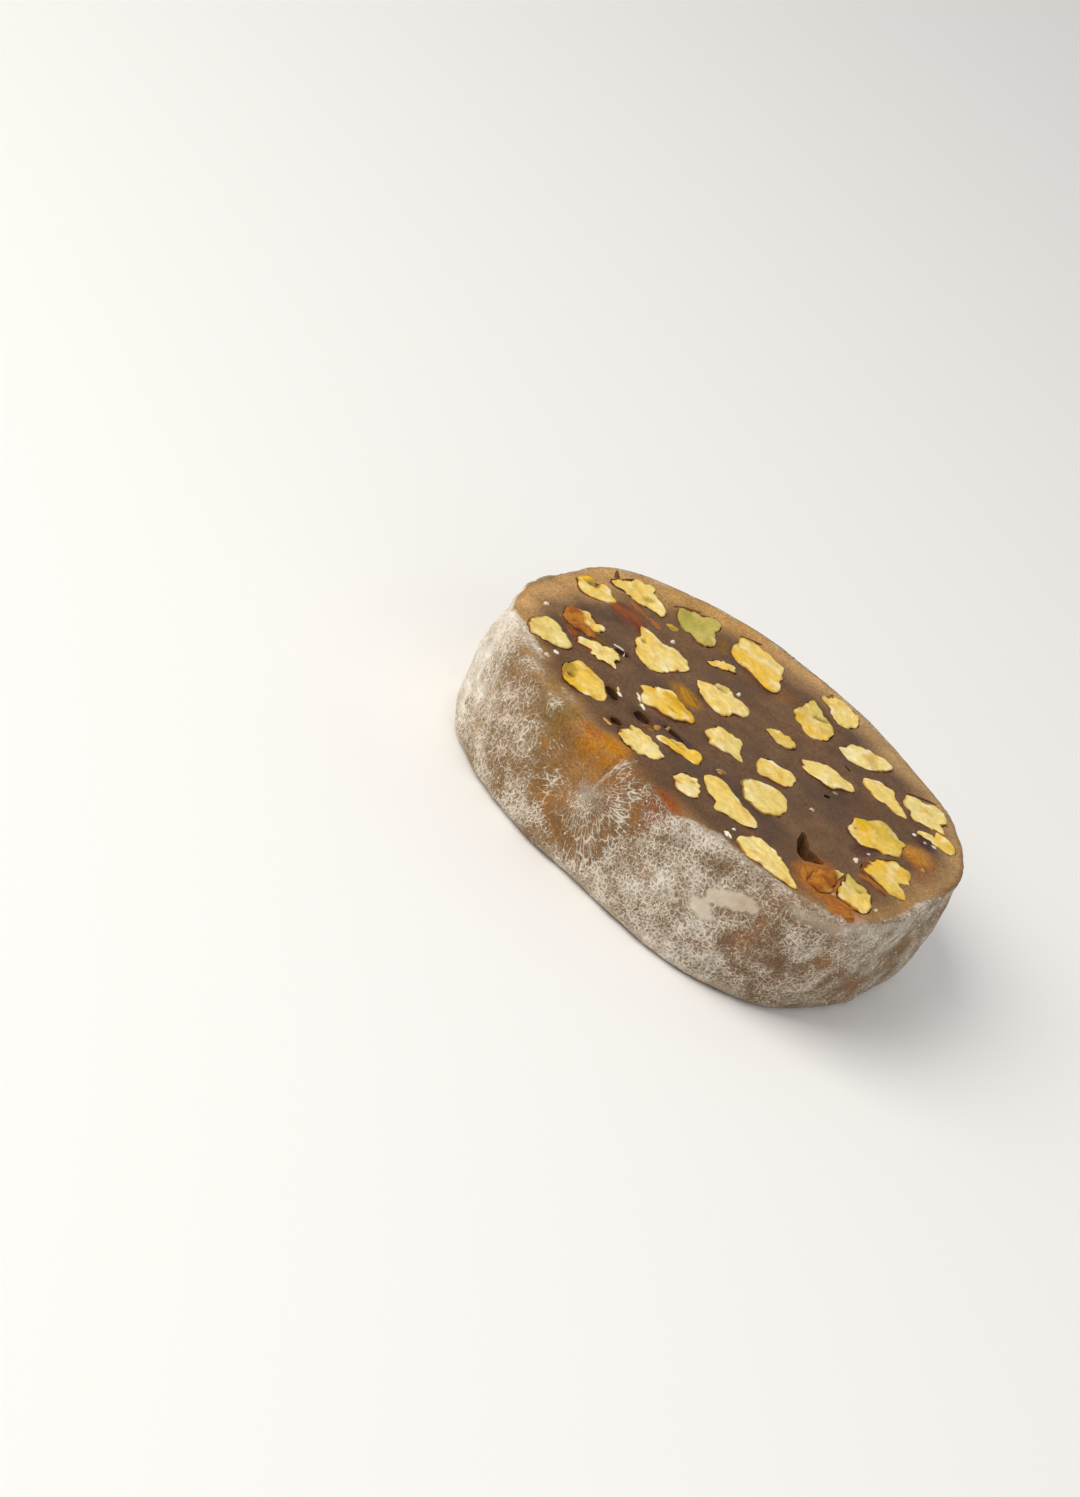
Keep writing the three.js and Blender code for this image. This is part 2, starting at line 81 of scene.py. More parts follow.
def linear(code: str) -> Colour:
    """Turns an sRGB colour into the linear one that shaders take.

    Args:
        code: The colour as "#rrggbb".

    Returns:
        Red, green, blue and alpha, linear.
    """
    parts = [int(code[i : i + 2], 16) / 255 for i in (1, 3, 5)]
    red, green, blue = (p / 12.92 if p <= 0.04045 else ((p + 0.055) / 1.055) ** 2.4 for p in parts)
    return red, green, blue, 1.0


def per_mm(size: float) -> float:
    """Returns the scale that gives a texture on Object coordinates features of a size in mm."""
    return 1 / (size * MM)


def eased(value: np.ndarray, low: float, high: float) -> np.ndarray:
    """Rises smoothly from 0 at low to 1 at high.

    Args:
        value: What is compared.
        low: Where the rise starts.
        high: Where it ends; below low, the result falls instead.

    Returns:
        A share from 0 to 1 for each value.
    """
    share = np.clip((value - low) / (high - low), 0, 1)
    return share * share * (3 - 2 * share)


def lattice(corner: np.ndarray, seed: int) -> np.ndarray:
    """Gives each corner of a whole-number lattice a repeatable value.

    Args:
        corner: Whole numbers, three to a row.
        seed: Picks one of many streams.

    Returns:
        A value from -1 to 1 for each row.
    """
    whole = corner.astype(np.int64) & 0xFFFFFFFF
    mixed = whole[:, 0] * 0x9E3779B1 ^ whole[:, 1] * 0x85EBCA77 ^ whole[:, 2] * 0xC2B2AE3D ^ seed * 0x27D4EB2F
    mixed &= 0xFFFFFFFF
    for shift, factor in ((15, 0x2C1B3C6D), (12, 0x297A2D39)):
        mixed = ((mixed ^ (mixed >> shift)) * factor) & 0xFFFFFFFF
    return (mixed ^ (mixed >> 15)) / 2**31 - 1


def ripple(points: np.ndarray, size: float | Sequence[float], seed: int, octaves: int = 2) -> np.ndarray:
    """Smooth random unevenness in space.

    Args:
        points: Places in mm, three to a row.
        size: Width of the largest features in mm, one number or one for each axis.
        seed: Picks the pattern.
        octaves: How many finer layers are added, each half as wide and high as the last.

    Returns:
        A height of about -1 to 1 for each place.
    """
    total = np.zeros(len(points))
    scaled = points / np.asarray(size, float)
    for octave in range(octaves):
        here = scaled * 2**octave + 17.3 * octave
        cell = np.floor(here)
        ease = here - cell
        ease = ease * ease * (3 - 2 * ease)
        value = np.zeros(len(points))
        for corner in np.ndindex(2, 2, 2):
            weight = np.prod(np.where(np.array(corner) == 1, ease, 1 - ease), axis=1)
            value += weight * lattice(cell + corner, seed + octave)
        total += value / 2**octave
    return total


def compass(x: np.ndarray, y: np.ndarray) -> np.ndarray:
    """Returns the direction of each (x, y) in degrees, from -180 to 180."""
    return np.degrees(np.arctan2(y, x))


def turn_between(angle: np.ndarray, other: float | np.ndarray) -> np.ndarray:
    """Returns how far each angle is turned from another, from -180 to 180 degrees."""
    return (angle - other + 540) % 360 - 180


def unit(turn: float) -> tuple[float, float]:
    """Returns the cosine and the sine of a direction in degrees."""
    return math.cos(math.radians(turn)), math.sin(math.radians(turn))


def all_round(steps: int) -> np.ndarray:
    """Returns so many directions, even all round, in degrees."""
    return np.arange(steps) * 360 / steps


def at_compass(angle: np.ndarray, rows: Sequence[Sequence[float]]) -> np.ndarray:
    """Blends values that are given at compass angles.

    Args:
        angle: Where they are wanted, degrees.
        rows: A compass angle with its values each.

    Returns:
        A row of values for each angle.
    """
    table = np.array(rows)
    return np.stack([np.interp(angle, table[:, 0], values, period=360) for values in table[:, 1:].T], 1)


def blend(under: np.ndarray, colour: str, share: np.ndarray) -> np.ndarray:
    """Lays a colour over others.

    Args:
        under: Linear colours, four to a row.
        colour: The sRGB colour that is laid over them.
        share: How much of it each row takes, 0 to 1.

    Returns:
        The mixed linear colours.
    """
    share = np.clip(share, 0, 1)[:, None]
    return under * (1 - share) + np.array(linear(colour)) * share


def filled(code: str, count: int) -> np.ndarray:
    """Returns so many rows of one colour, linear."""
    return np.tile(np.array(linear(code)), (count, 1))


def circle_noise(steps: int, key: float, size: float, seed: int, octaves: int) -> np.ndarray:
    """Returns unevenness round a circle of so many steps; the key picks one of many such rings."""
    around = np.radians(all_round(steps))
    return ripple(np.stack([np.cos(around), np.sin(around), np.full(steps, key)], 1), size, seed, octaves)


def placed(name: str, data: bpy.types.ID) -> bpy.types.Object:
    """Adds an object with its data to the scene."""
    thing = bpy.data.objects.new(name, data)
    bpy.context.scene.collection.objects.link(thing)
    return thing


def mesh_object(name: str, points: np.ndarray, faces: Sequence[Sequence[int]]) -> bpy.types.Object:
    """Makes an object at the origin from points in mm.

    Args:
        name: The object's name.
        points: Corners, three numbers to a row.
        faces: Corner numbers of each face, counted so that the face points outwards.

    Returns:
        The linked object, shaded smooth.
    """
    mesh = bpy.data.meshes.new(name)
    mesh.from_pydata((points * MM).tolist(), [], [list(map(int, f)) for f in faces])
    mesh.shade_smooth()
    return placed(name, mesh)


def joined(forms: Sequence[Form]) -> Form:
    """Puts several forms together in one."""
    starts = np.cumsum([0, *(len(points) for points, _ in forms)])
    faces = [tuple(i + start for i in f) for start, (_, own) in zip(starts, forms) for f in own]
    return np.concatenate([points for points, _ in forms]), faces


def with_modifiers(thing: bpy.types.Object) -> bpy.types.Mesh:
    """Returns the mesh that an object's modifiers make of it."""
    return bpy.data.meshes.new_from_object(thing.evaluated_get(bpy.context.evaluated_depsgraph_get()))


def corners(mesh: bpy.types.Mesh) -> np.ndarray:
    """Returns a mesh's vertices in mm, three numbers to a row."""
    flat = np.zeros(len(mesh.vertices) * 3, np.float32)
    mesh.vertices.foreach_get("co", flat)
    return flat.reshape(-1, 3).astype(float) / MM


def store(mesh: bpy.types.Mesh, name: str, values: np.ndarray) -> None:
    """Keeps a value, a vector or a colour for each vertex as a named attribute.

    Args:
        mesh: The mesh that takes it.
        name: The attribute's name, which a material reads.
        values: One row for each vertex, with 1, 3 or 4 numbers.
    """
    width = 1 if values.ndim == 1 else values.shape[1]
    kind, key = {1: ("FLOAT", "value"), 3: ("FLOAT_VECTOR", "vector"), 4: ("FLOAT_COLOR", "color")}[width]
    attribute = mesh.attributes.new(name, kind, "POINT")
    attribute.data.foreach_set(key, values.astype(np.float32).ravel())


def add_node(tree: NodeTree, kind: str, inputs: Mapping | Sequence = (), **settings: object) -> Node:
    """Adds a node with its settings and its links.

    Args:
        tree: The node tree.
        kind: The node's type; "ShaderNode" may be left out of it.
        inputs: An output, a node or a constant for each socket, by its name or number or in their order.
        settings: Its properties.

    Returns:
        The node.
    """
    node = tree.nodes.new(kind if "Node" in kind else f"ShaderNode{kind}")
    for name, value in settings.items():
        setattr(node, name, value)
    for key, value in inputs.items() if isinstance(inputs, Mapping) else enumerate(inputs):
        if isinstance(value, Node):
            value = next(out for out in value.outputs if out.enabled)
        if isinstance(value, Socket):
            tree.links.new(value, node.inputs[key])
        else:
            node.inputs[key].default_value = value
    return node


def fresh_material(name: str) -> tuple[bpy.types.Material, NodeTree, Socket]:
    """Starts a node material.

    Args:
        name: Its name.

    Returns:
        The material, its empty tree and its Object coordinates.
    """
    material = bpy.data.materials.new(name)
    material.use_nodes = True
    tree = material.node_tree
    tree.nodes.clear()
    return material, tree, add_node(tree, "TexCoord").outputs["Object"]


def add_surface(
    tree: NodeTree, relief: Node, depth: float, look: Mapping[str, object], strength: float = 1.0
) -> None:
    """Ends a material with a surface that is bumped and shaded.

    Args:
        tree: The material's tree.
        relief: Height of the surface, about 0 to 1.
        depth: How high 1 stands, mm.
        look: Inputs of the shader.
        strength: How strongly the bump shows.
    """
    bump = add_node(tree, "Bump", {"Height": relief, "Distance": depth * MM, "Strength": strength})
    shader = add_node(tree, "BsdfPrincipled", {"Normal": bump, "Specular IOR Level": 0.2, **look})
    add_node(tree, "OutputMaterial", {"Surface": shader})


def finished(piece: bpy.types.Object, slot: str, *nodes: str) -> bpy.types.Object:
    """Ties a finished piece to the frame.

    Args:
        piece: The piece, in its place.
        slot: The record's material slot; not used.
        nodes: The CAD nodes that it stands for.

    Returns:
        The same piece.
    """
    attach(piece, BODY)
    if nodes:
        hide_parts(*nodes)
    log.info("%s: %d faces", piece.name, len(piece.data.polygons))
    return piece


# ---------------------------------------------------------------- finishes


@dataclass(frozen=True)
class JellyFinish:
    """Starch jelly, boiled and set: smoky and half clear where the knife cut it, so that it looks brown
    grey and a little milky. On the rind it dried under starch powder, which clings as a fine white web."""

    starch: str = "#bda782"
    starch_thick: str = "#efeae0"
    roughness: tuple[float, float] = (0.42, 0.88)  # of the bare jelly and of the starch
    # Width of the web's meshes, mm, how wide its lines get, and how well they cover.
    webs: tuple[tuple[float, float, float], ...] = ((1.15, 0.29, 0.9), (0.55, 0.17, 0.7))
    # Size of the fibres along and up the wall, mm, and whether the star has them: none lie across its rays.
    fibres: tuple[tuple[float, float, bool], ...] = ((0.28, 1.6, True), (0.9, 0.34, False))
    fibre_reach: float = 0.085  # half the width of a fibre where the starch is thickest
    patch: float = 3.6  # width of the uneven patches of starch, mm
    patchiness: float = 1.3
    tear: float = 2.6  # width of the gaps where the web is torn, mm
    haze: float = 5.0  # width of the cloudy patches in the jelly, mm
    grit: float = 0.4  # width of the finest mottling, mm
    dust_relief: float = 0.14  # how thick the starch lies, mm
    scatter: float = 0.18  # share of light that goes into the jelly
    scatter_depth: tuple[float, float, float] = (1.0, 0.55, 0.3)
    scatter_scale: float = 1.6  # how deep red light goes, mm

    def material(self) -> bpy.types.Material:
        """Builds the material from the attributes tint, starch, rise, film, net, star and star_share."""
        material, tree, place = fresh_material("starch_jelly_cut_and_dusted")
        fine = {"Vector": place, "Scale": per_mm(self.grit), "Detail": 2.0, "Roughness": ROUGH}
        grain = add_node(tree, "TexNoise", fine)
        amount, cover = self._cover(tree, place, grain)
        starch = {0: amount, 6: linear(self.starch), 7: linear(self.starch_thick)}
        thick = add_node(tree, "Mix", starch, data_type="RGBA")
        cloudy = self._mottled(tree, place, grain)
        look = {
            "Base Color": add_node(tree, "Mix", {0: cover, 6: cloudy, 7: thick}, data_type="RGBA"),
            "Roughness": add_node(tree, "MapRange", (cover, 0.0, 1.0, *self.roughness)),
            "IOR": 1.45,
            "Subsurface Weight": self.scatter,
            "Subsurface Radius": self.scatter_depth,
            "Subsurface Scale": self.scatter_scale * MM,
        }
        relief = add_node(tree, "Math", (grain, 0.35, cover), operation="MULTIPLY_ADD")
        add_surface(tree, relief, self.dust_relief, look, 0.9)
        return material

    def _mottled(self, tree: NodeTree, place: Socket, grain: Node) -> Node:
        """Clouds the painted tint with milky patches and fine grit.

        Args:
            tree: The material's tree.
            place: Object coordinates.
            grain: The finest noise.

        Returns:
            The clouded colour.
        """
        clouds = {"Vector": place, "Scale": per_mm(self.haze), "Detail": 4.0, "Roughness": ROUGH}
        haze = add_node(tree, "TexNoise", clouds)
        light = add_node(tree, "MapRange", (haze, 0.3, 0.7, 0.74, 1.26))
        fine = add_node(tree, "MapRange", (grain, 0.34, 0.66, 0.7, 1.3))
        both = add_node(tree, "Math", (light, fine), operation="MULTIPLY")
        tint = add_node(tree, "Attribute", attribute_name="tint").outputs["Color"]
        return add_node(tree, "VectorMath", {"Vector": tint, "Scale": both}, operation="SCALE")

    def _cover(self, tree: NodeTree, place: Socket, grain: Node) -> tuple[Node, Node]:
        """Draws how far the starch hides the jelly: the lines of a web that widen where the starch is thick.

        Args:
            tree: The material's tree.
            place: Object coordinates.
            grain: The finest noise.

        Returns:
            How much starch there is, and the cover that it makes, both 0 to 1.
        """
        starch, rise, film, star_share = (
            add_node(tree, "Attribute", attribute_name=name).outputs["Fac"]
            for name in ("starch", "rise", "film", "star_share")
        )
        sizes = ((self.patch, 4.0), (self.tear, 3.0))
        looks = ({"Scale": per_mm(size), "Detail": detail, "Roughness": ROUGH} for size, detail in sizes)
        uneven, gaps = (add_node(tree, "TexNoise", {"Vector": place, **look}) for look in looks)
        thicker = add_node(tree, "Math", (uneven, self.patchiness, starch), operation="MULTIPLY_ADD")
        amount = add_node(tree, "Math", (thicker, self.patchiness / 2), operation="SUBTRACT", use_clamp=True)
        swell = add_node(tree, "Math", (amount, 1.3), operation="POWER")
        whole = add_node(tree, "MapRange", (amount, 0.74, 1.1), interpolation_type="SMOOTHSTEP")
        grainy = add_node(tree, "MapRange", (grain, 0.3, 0.46))
        cover = add_node(tree, "Math", (whole, grainy), operation="MULTIPLY")
        torn = add_node(tree, "MapRange", (gaps, 0.38, 0.52, 0.6, 1.0))
        maps = [self._wavy(tree, "net", 1.9), self._wavy(tree, "star", 0.9)]
        for mesh, reach, weight in self.webs:
            kind = {"feature": "DISTANCE_TO_EDGE", "voronoi_dimensions": "2D"}
            plain, starry = (
                add_node(tree, "TexVoronoi", {"Vector": flat, "Scale": 1 / mesh}, **kind) for flat in maps
            )
            away = add_node(tree, "Mix", {0: star_share, 2: plain, 3: starry})
            width = add_node(tree, "Math", (swell, reach), operation="MULTIPLY")
            faded = add_node(tree, "Math", (torn, weight), operation="MULTIPLY")
            cover = self._drawn(tree, cover, width, away, 0.035, faded)
        for along, up, in_star in self.fibres:
            ridges = []
            for flat in maps:
                flow = add_node(tree, "Mapping", {"Vector": flat, "Scale": (1 / along, 1 / up, 1.0)})
                banded = {"Vector": flow, "Scale": 1.0, "Detail": 2.0, "Roughness": ROUGH}
                bands = add_node(tree, "TexNoise", banded)
                middle = add_node(tree, "Math", (bands, 0.5), operation="SUBTRACT")
                ridges.append(add_node(tree, "Math", (middle,), operation="ABSOLUTE"))
            away = add_node(tree, "Mix", {0: star_share, 2: ridges[0], 3: ridges[1] if in_star else 1.0})
            width = add_node(tree, "Math", (swell, self.fibre_reach), operation="MULTIPLY")
            cover = self._drawn(tree, cover, width, away, 0.02, 0.75)
        edge = add_node(tree, "Math", (uneven, 4.0, rise), operation="MULTIPLY_ADD")
        present = add_node(tree, "MapRange", (edge, 1.0, 3.0), interpolation_type="SMOOTHSTEP")
        cover = add_node(tree, "Math", (cover, present), operation="MULTIPLY")
        return amount, add_node(tree, "Math", (cover, film), operation="MAXIMUM")

    @staticmethod
    def _wavy(tree: NodeTree, name: str, far: float) -> Node:
        """Reads places and bends them by up to a distance in mm, so that no line is straight."""
        place = add_node(tree, "Attribute", attribute_name=name).outputs["Vector"]
        warp = add_node(tree, "TexNoise", {"Vector": place, "Scale": 0.7, "Detail": 3.0, "Roughness": 0.62})
        bend = (warp.outputs["Color"], (far, far, 0.0), place)
        return add_node(tree, "VectorMath", bend, operation="MULTIPLY_ADD")

    @staticmethod
    def _drawn(
        tree: NodeTree, cover: Node, width: Node, away: Node, soft: float, weight: float | Node
    ) -> Node:
        """Adds lines to the cover.

        Args:
            tree: The material's tree.
            cover: The cover so far.
            width: How wide the lines are.
            away: How far each place is from a line.
            soft: How wide their edges fade.
            weight: How well they hide what is under them.

        Returns:
            The cover with the lines.
        """
        inside = add_node(tree, "Math", (width, away), operation="SUBTRACT")
        line = add_node(tree, "MapRange", (inside, -soft, soft, 0.0, weight), interpolation_type="SMOOTHSTEP")
        return add_node(tree, "Math", (cover, line), operation="MAXIMUM")


@dataclass(frozen=True)
class KernelFinish:
    """Pistachio kernel, cut with a knife: dense oily flesh with a faint fibre along its length, so that it
    looks matt to waxy, with torn pale specks. The papery skin round it is painted in the tint."""

    name: str = "pistachio_flesh_knife_cut"
    fibre: tuple[float, float] = (0.22, 1.6)  # width and length of a fibre, mm
    mottle: float = 1.5  # width of the uneven patches, mm
    contrast: float = 0.17
    relief: float = 0.1  # height of the fibres, mm
    roughness: tuple[float, float] = (0.45, 0.7)
    scatter: float = 0.12
    scatter_scale: float = 0.9  # mm

    def material(self) -> bpy.types.Material:
        """Builds the material, which reads the attributes tint and grain."""
        material, tree, place = fresh_material(self.name)
        tint = add_node(tree, "Attribute", attribute_name="tint").outputs["Color"]
        grain = add_node(tree, "Attribute", attribute_name="grain").outputs["Vector"]
        width, length = self.fibre
        along = add_node(tree, "Mapping", {"Vector": grain, "Scale": (1 / length, 1 / width, 1 / width)})
        fine = {"Vector": along, "Scale": 1.0, "Detail": 3.0, "Roughness": ROUGH}
        fibres = add_node(tree, "TexNoise", fine)
        patchy = {"Vector": place, "Scale": per_mm(self.mottle), "Detail": 4.0, "Roughness": 0.7}
        patches = add_node(tree, "TexNoise", patchy)
        mixed = add_node(tree, "Math", (fibres, 0.8, patches), operation="MULTIPLY_ADD")
        light = add_node(tree, "MapRange", (mixed, 0.6, 1.2, 1 - self.contrast, 1 + self.contrast))
        look = {
            "Base Color": add_node(tree, "VectorMath", {"Vector": tint, "Scale": light}, operation="SCALE"),
            "Roughness": add_node(tree, "MapRange", (patches, 0.0, 1.0, *self.roughness)),
            "IOR": 1.47,
            "Subsurface Weight": self.scatter,
            "Subsurface Radius": (1.0, 0.7, 0.25),
            "Subsurface Scale": self.scatter_scale * MM,
        }
        add_surface(tree, mixed, self.relief, look, 0.8)
        return material


@dataclass(frozen=True)
class StarchFinish:
    """Cornflour and icing sugar, dusted on as powder: clumped grains, so that it looks chalky and matt."""

    colour: str = "#e6dfd3"
    shade: str = "#c9bda9"
    clump: float = 0.3  # mm

    def material(self) -> bpy.types.Material:
        """Builds the powder material."""
        material, tree, place = fresh_material("starch_powder_dusted")
        clumps = add_node(tree, "TexNoise", {"Vector": place, "Scale": per_mm(self.clump), "Detail": 3.0})
        shades = {0: clumps, 6: linear(self.shade), 7: linear(self.colour)}
        colour = add_node(tree, "Mix", shades, data_type="RGBA")
        add_surface(tree, clumps, 0.1 * self.clump, {"Base Color": colour, "Roughness": 0.95})
        return material


@dataclass(frozen=True)
class TableFinish:
    """Matt white laminate, sprayed: even and pale, with the faintest orange peel."""

    colour: str = "#f7f6f4"
    peel: float = 1.5  # width of the orange peel, mm

    def material(self) -> bpy.types.Material:
        """Builds the table's material."""
        material, tree, place = fresh_material("laminate_matt_white")
        peel = add_node(tree, "TexNoise", {"Vector": place, "Scale": per_mm(self.peel)})
        add_surface(tree, peel, 0.01, {"Base Color": linear(self.colour), "Roughness": 0.8})
        return material


# ---------------------------------------------------------------- kernels


class Side(Enum):
    """The cut face that a kernel shows in; the value is the way its cut faces, up or down."""

    UPPER = 1
    LOWER = -1


@dataclass(frozen=True)
class SkinArc:
    """A stretch of a kernel's outline where its papery skin shows.

    Attributes:
        start: Direction from the kernel's middle where it starts, degrees.
        end: Where it ends, counted anticlockwise.
        width: How far it reaches inwards, mm.
        colour: The skin's colour.
    """

    start: float
    end: float
    width: float = 0.4
    colour: str = "#5a3226"


@dataclass(frozen=True)
class Stretch:
    """A stretch of the way round a piece.

    Attributes:
        at: Its middle, compass degrees.
        near: How far to either side it is whole, degrees.
        far: How far out it has faded away, degrees.
    """

    at: float
    near: float
    far: float

    def share(self, angle: np.ndarray) -> np.ndarray:
        """Returns 1 for compass angles on the stretch and 0 for those off it."""
        return 1 - eased(np.abs(turn_between(angle, self.at)), self.near, self.far)


@dataclass(frozen=True)
class Spot:
    """An oval place on a face.

    Attributes:
        at: Its middle, mm, counted from CUT_MIDDLE; that of a pit counts from its kernel's middle.
        size: Length and width, mm.
        turn: Direction of its length, degrees.
    """

    at: tuple[float, float]
    size: tuple[float, float]
    turn: float

    def away(self, points: np.ndarray) -> np.ndarray:
        """Returns how far places are from the middle: 1 on the outline and more outside."""
        c, s = unit(self.turn)
        dx, dy = points[:, 0] - self.at[0], points[:, 1] - self.at[1]
        return np.hypot((dx * c + dy * s) * 2 / self.size[0], (dy * c - dx * s) * 2 / self.size[1])

    def ring(self, uneven: np.ndarray) -> np.ndarray:
        """Makes a ring of points round it.

        Args:
            uneven: How far out each point lies, as a share of the oval's reach.

        Returns:
            Points in mm in the part's frame, at height 0.
        """
        around = np.radians(all_round(len(uneven)))
        x, y = self.size[0] / 2 * np.cos(around) * uneven, self.size[1] / 2 * np.sin(around) * uneven
        c, s = unit(self.turn)
        middle = CUT_MIDDLE + self.at
        return np.stack([middle[0] + x * c - y * s, middle[1] + x * s + y * c, np.zeros(len(uneven))], 1)


@dataclass(frozen=True)
class Pit(Spot):
    """A hole or dimple in the cut flesh.

    Attributes:
        depth: How deep it goes, mm.
        colour: The colour of its floor: a stain where it is shallow, and painted shade in the deep, dark
            brown holes.
    """

    depth: float
    colour: str


@dataclass(frozen=True)
class Marks:
    """What sets one cut kernel apart from the others.

    Attributes:
        tone: Flesh colour from 0, pale cream, to 1, deep yellow.
        shift: How much the tone changes from the middle to the edge, towards a direction.
        towards: That direction, degrees.
        green: How green the flesh is, 0 to 1.
        green_towards: Direction in which it is greenest, or None for all over.
        ragged: How deep the torn notches of its edge go, mm.
        skin_face: Share of the face that the skin covers, 0 to 1.
        bare_towards: Direction in which flesh shows beside that skin.
        skins: Stretches of skin along the outline.
        pits: Holes in the flesh.
    """

    tone: float = 0.3
    shift: float = 0.0
    towards: float = 0.0
    green: float = 0.0
    green_towards: float | None = None
    ragged: float = 0.22
    skin_face: float = 0.0
    bare_towards: float = 0.0
    skins: tuple[SkinArc, ...] = ()
    pits: tuple[Pit, ...] = ()


PLUM = "#4a2a26"
RUST = "#8a4a1c"

UPPER_MARKS: dict[int, Marks] = {
    1: Marks(0.7, 0.5, 100, ragged=0.1, skins=(SkinArc(200, 330, 0.2, RUST),),
             pits=(Pit((-1.2, 1.3), (3.4, 2.0), 40, 0.9, "#9a7c0e"),)),
    2: Marks(0.35, -0.3, 20, ragged=0.4, skins=(SkinArc(120, 250, 0.45, PLUM),),
             pits=(Pit((2.2, -0.6), (2.4, 1.4), 30, 0.4, "#b9a04a"),)),
    3: Marks(0.2, green=0.75, ragged=0.35, skins=(SkinArc(60, 170, 0.5, "#7a3a1c"),),
             pits=(Pit((3.4, 1.6), (1.6, 1.0), 60, 0.7, "#5e5522"),)),
    4: Marks(0.62, -0.3, 60, ragged=0.15, skins=(SkinArc(85, 130, 0.4, PLUM), SkinArc(250, 285, 0.3, RUST))),
    5: Marks(0.55, 0.3, 180, ragged=0.3),
    6: Marks(0.3, 0.35, 185, ragged=0.16, skins=(SkinArc(290, 350, 0.35, "#7a4020"),),
             pits=(Pit((-3.4, 1.4), (1.8, 1.0), 80, 0.3, "#b98f1c"),)),
    7: Marks(0.25, 0.25, 215, ragged=0.3, pits=(Pit((-0.7, 2.9), (2.6, 1.4), 5, 0.6, "#a8860f"),),
             skins=(SkinArc(30, 80, 0.3, RUST),)),
    8: Marks(0.6, skin_face=0.62, bare_towards=40, ragged=0.3),
    9: Marks(0.32, ragged=0.2, skins=(SkinArc(115, 150, 0.6, "#9a5a1e"), SkinArc(48, 66, 0.7, "#9a6a1e"))),
    10: Marks(0.55, 0.45, 205, green=0.35, green_towards=100, ragged=0.25,
              skins=(SkinArc(60, 110, 0.3, "#6a5224"),),
              pits=(Pit((0.4, 2.6), (3.2, 1.2), 20, 0.35, "#8d7a35"),)),
    11: Marks(0.06, ragged=0.1, skins=(SkinArc(-40, 20, 0.25, "#b98c3a"),)),
    12: Marks(0.25, ragged=0.12, skins=(SkinArc(80, 130, 0.25, RUST),)),
    13: Marks(0.1, 0.2, 0, ragged=0.15,
              skins=(SkinArc(88, 150, 0.45, "#3c2020"), SkinArc(-60, 10, 0.3, "#a8741a"))),
    14: Marks(0.5, 0.3, 0, ragged=0.3, skins=(SkinArc(200, 280, 0.35, PLUM),)),
    15: Marks(0.5, 0.2, 90, green=0.2, ragged=0.3, skins=(SkinArc(80, 140, 0.3, RUST),)),
    16: Marks(0.22, ragged=0.14, skins=(SkinArc(160, 205, 0.4, "#7a3a24"),)),
    17: Marks(0.15, 0.2, 120, green=0.12, ragged=0.16, skins=(SkinArc(150, 250, 0.3, "#8a6020"),)),
    18: Marks(0.15, ragged=0.4, skins=(SkinArc(200, 250, 0.5, "#8f3a2a"),)),
    19: Marks(0.72, 0.4, 190, ragged=0.2,
              pits=(Pit((-3.0, 0.4), (3.6, 6.6), 14, 0.15, "#ae8a30"),
                    Pit((-1.9, -0.9), (1.6, 1.1), 20, 0.9, "#6a4608")),
              skins=(SkinArc(140, 230, 0.5, "#b07a12"),)),
    20: Marks(0.85, -0.4, 225, ragged=0.3,
              pits=(Pit((1.8, 1.6), (6.4, 2.4), -22, 0.1, "#d8a51a"),
                    Pit((1.2, -1.4), (2.4, 0.9), -30, 0.25, "#c09a10"))),
    21: Marks(0.3, 0.2, 180, green=0.2, green_towards=0, ragged=0.28,
              skins=(SkinArc(55, 125, 0.4, "#8a5222"), SkinArc(-60, -20, 0.3, "#7a4a1c"))),
    22: Marks(0.75, ragged=0.35, pits=(Pit((-0.6, 0.5), (4.4, 0.8), -10, 0.8, "#6a4408"),)),
    23: Marks(0.25, 0.3, 160, ragged=0.4, skins=(SkinArc(150, 200, 0.4, RUST),),
              pits=(Pit((-2.9, 1.9), (2.2, 1.6), 20, 0.7, "#8a5a1c"),)),
    24: Marks(0.22, ragged=0.28, skins=(SkinArc(50, 120, 0.35, "#7d5526"), SkinArc(200, 280, 0.3, RUST)),
              pits=(Pit((0.6, 1.8), (1.0, 0.7), 0, 0.3, "#8d7430"),)),
    25: Marks(0.32, 0.2, 130, ragged=0.22, skins=(SkinArc(200, 260, 0.25, PLUM),)),
    26: Marks(0.35, 0.15, -60, ragged=0.2, skins=(SkinArc(-70, -20, 0.25, RUST),)),
    27: Marks(0.28, ragged=0.12, green=0.12, skins=(SkinArc(100, 330, 0.35, "#8a6a24"),)),
    28: Marks(0.8, 0.2, 150, green=0.45, green_towards=75, ragged=0.24, skins=(SkinArc(200, 300, 0.3, PLUM),),
              pits=(Pit((-3.2, -1.6), (0.6, 0.6), 0, 0.3, "#6a5208"),)),
    29: Marks(0.72, 0.2, 180, green=0.15, green_towards=0, ragged=0.22,
              skins=(SkinArc(180, 240, 0.8, "#7a4620"),)),
    30: Marks(0.42, green=0.5, green_towards=130, ragged=0.3,
              skins=(SkinArc(250, 290, 0.6, "#c07a20"), SkinArc(0, 70, 0.35, "#8d7430")),
              pits=(Pit((0.3, 1.2), (1.2, 0.9), 30, 0.3, "#a08c48"),)),
    31: Marks(0.42, skin_face=0.85, bare_towards=-5, ragged=0.12, green=0.2),
    32: Marks(0.2, 0.15, -60, ragged=0.3, skins=(SkinArc(180, 230, 0.3, "#b07a30"),)),
}


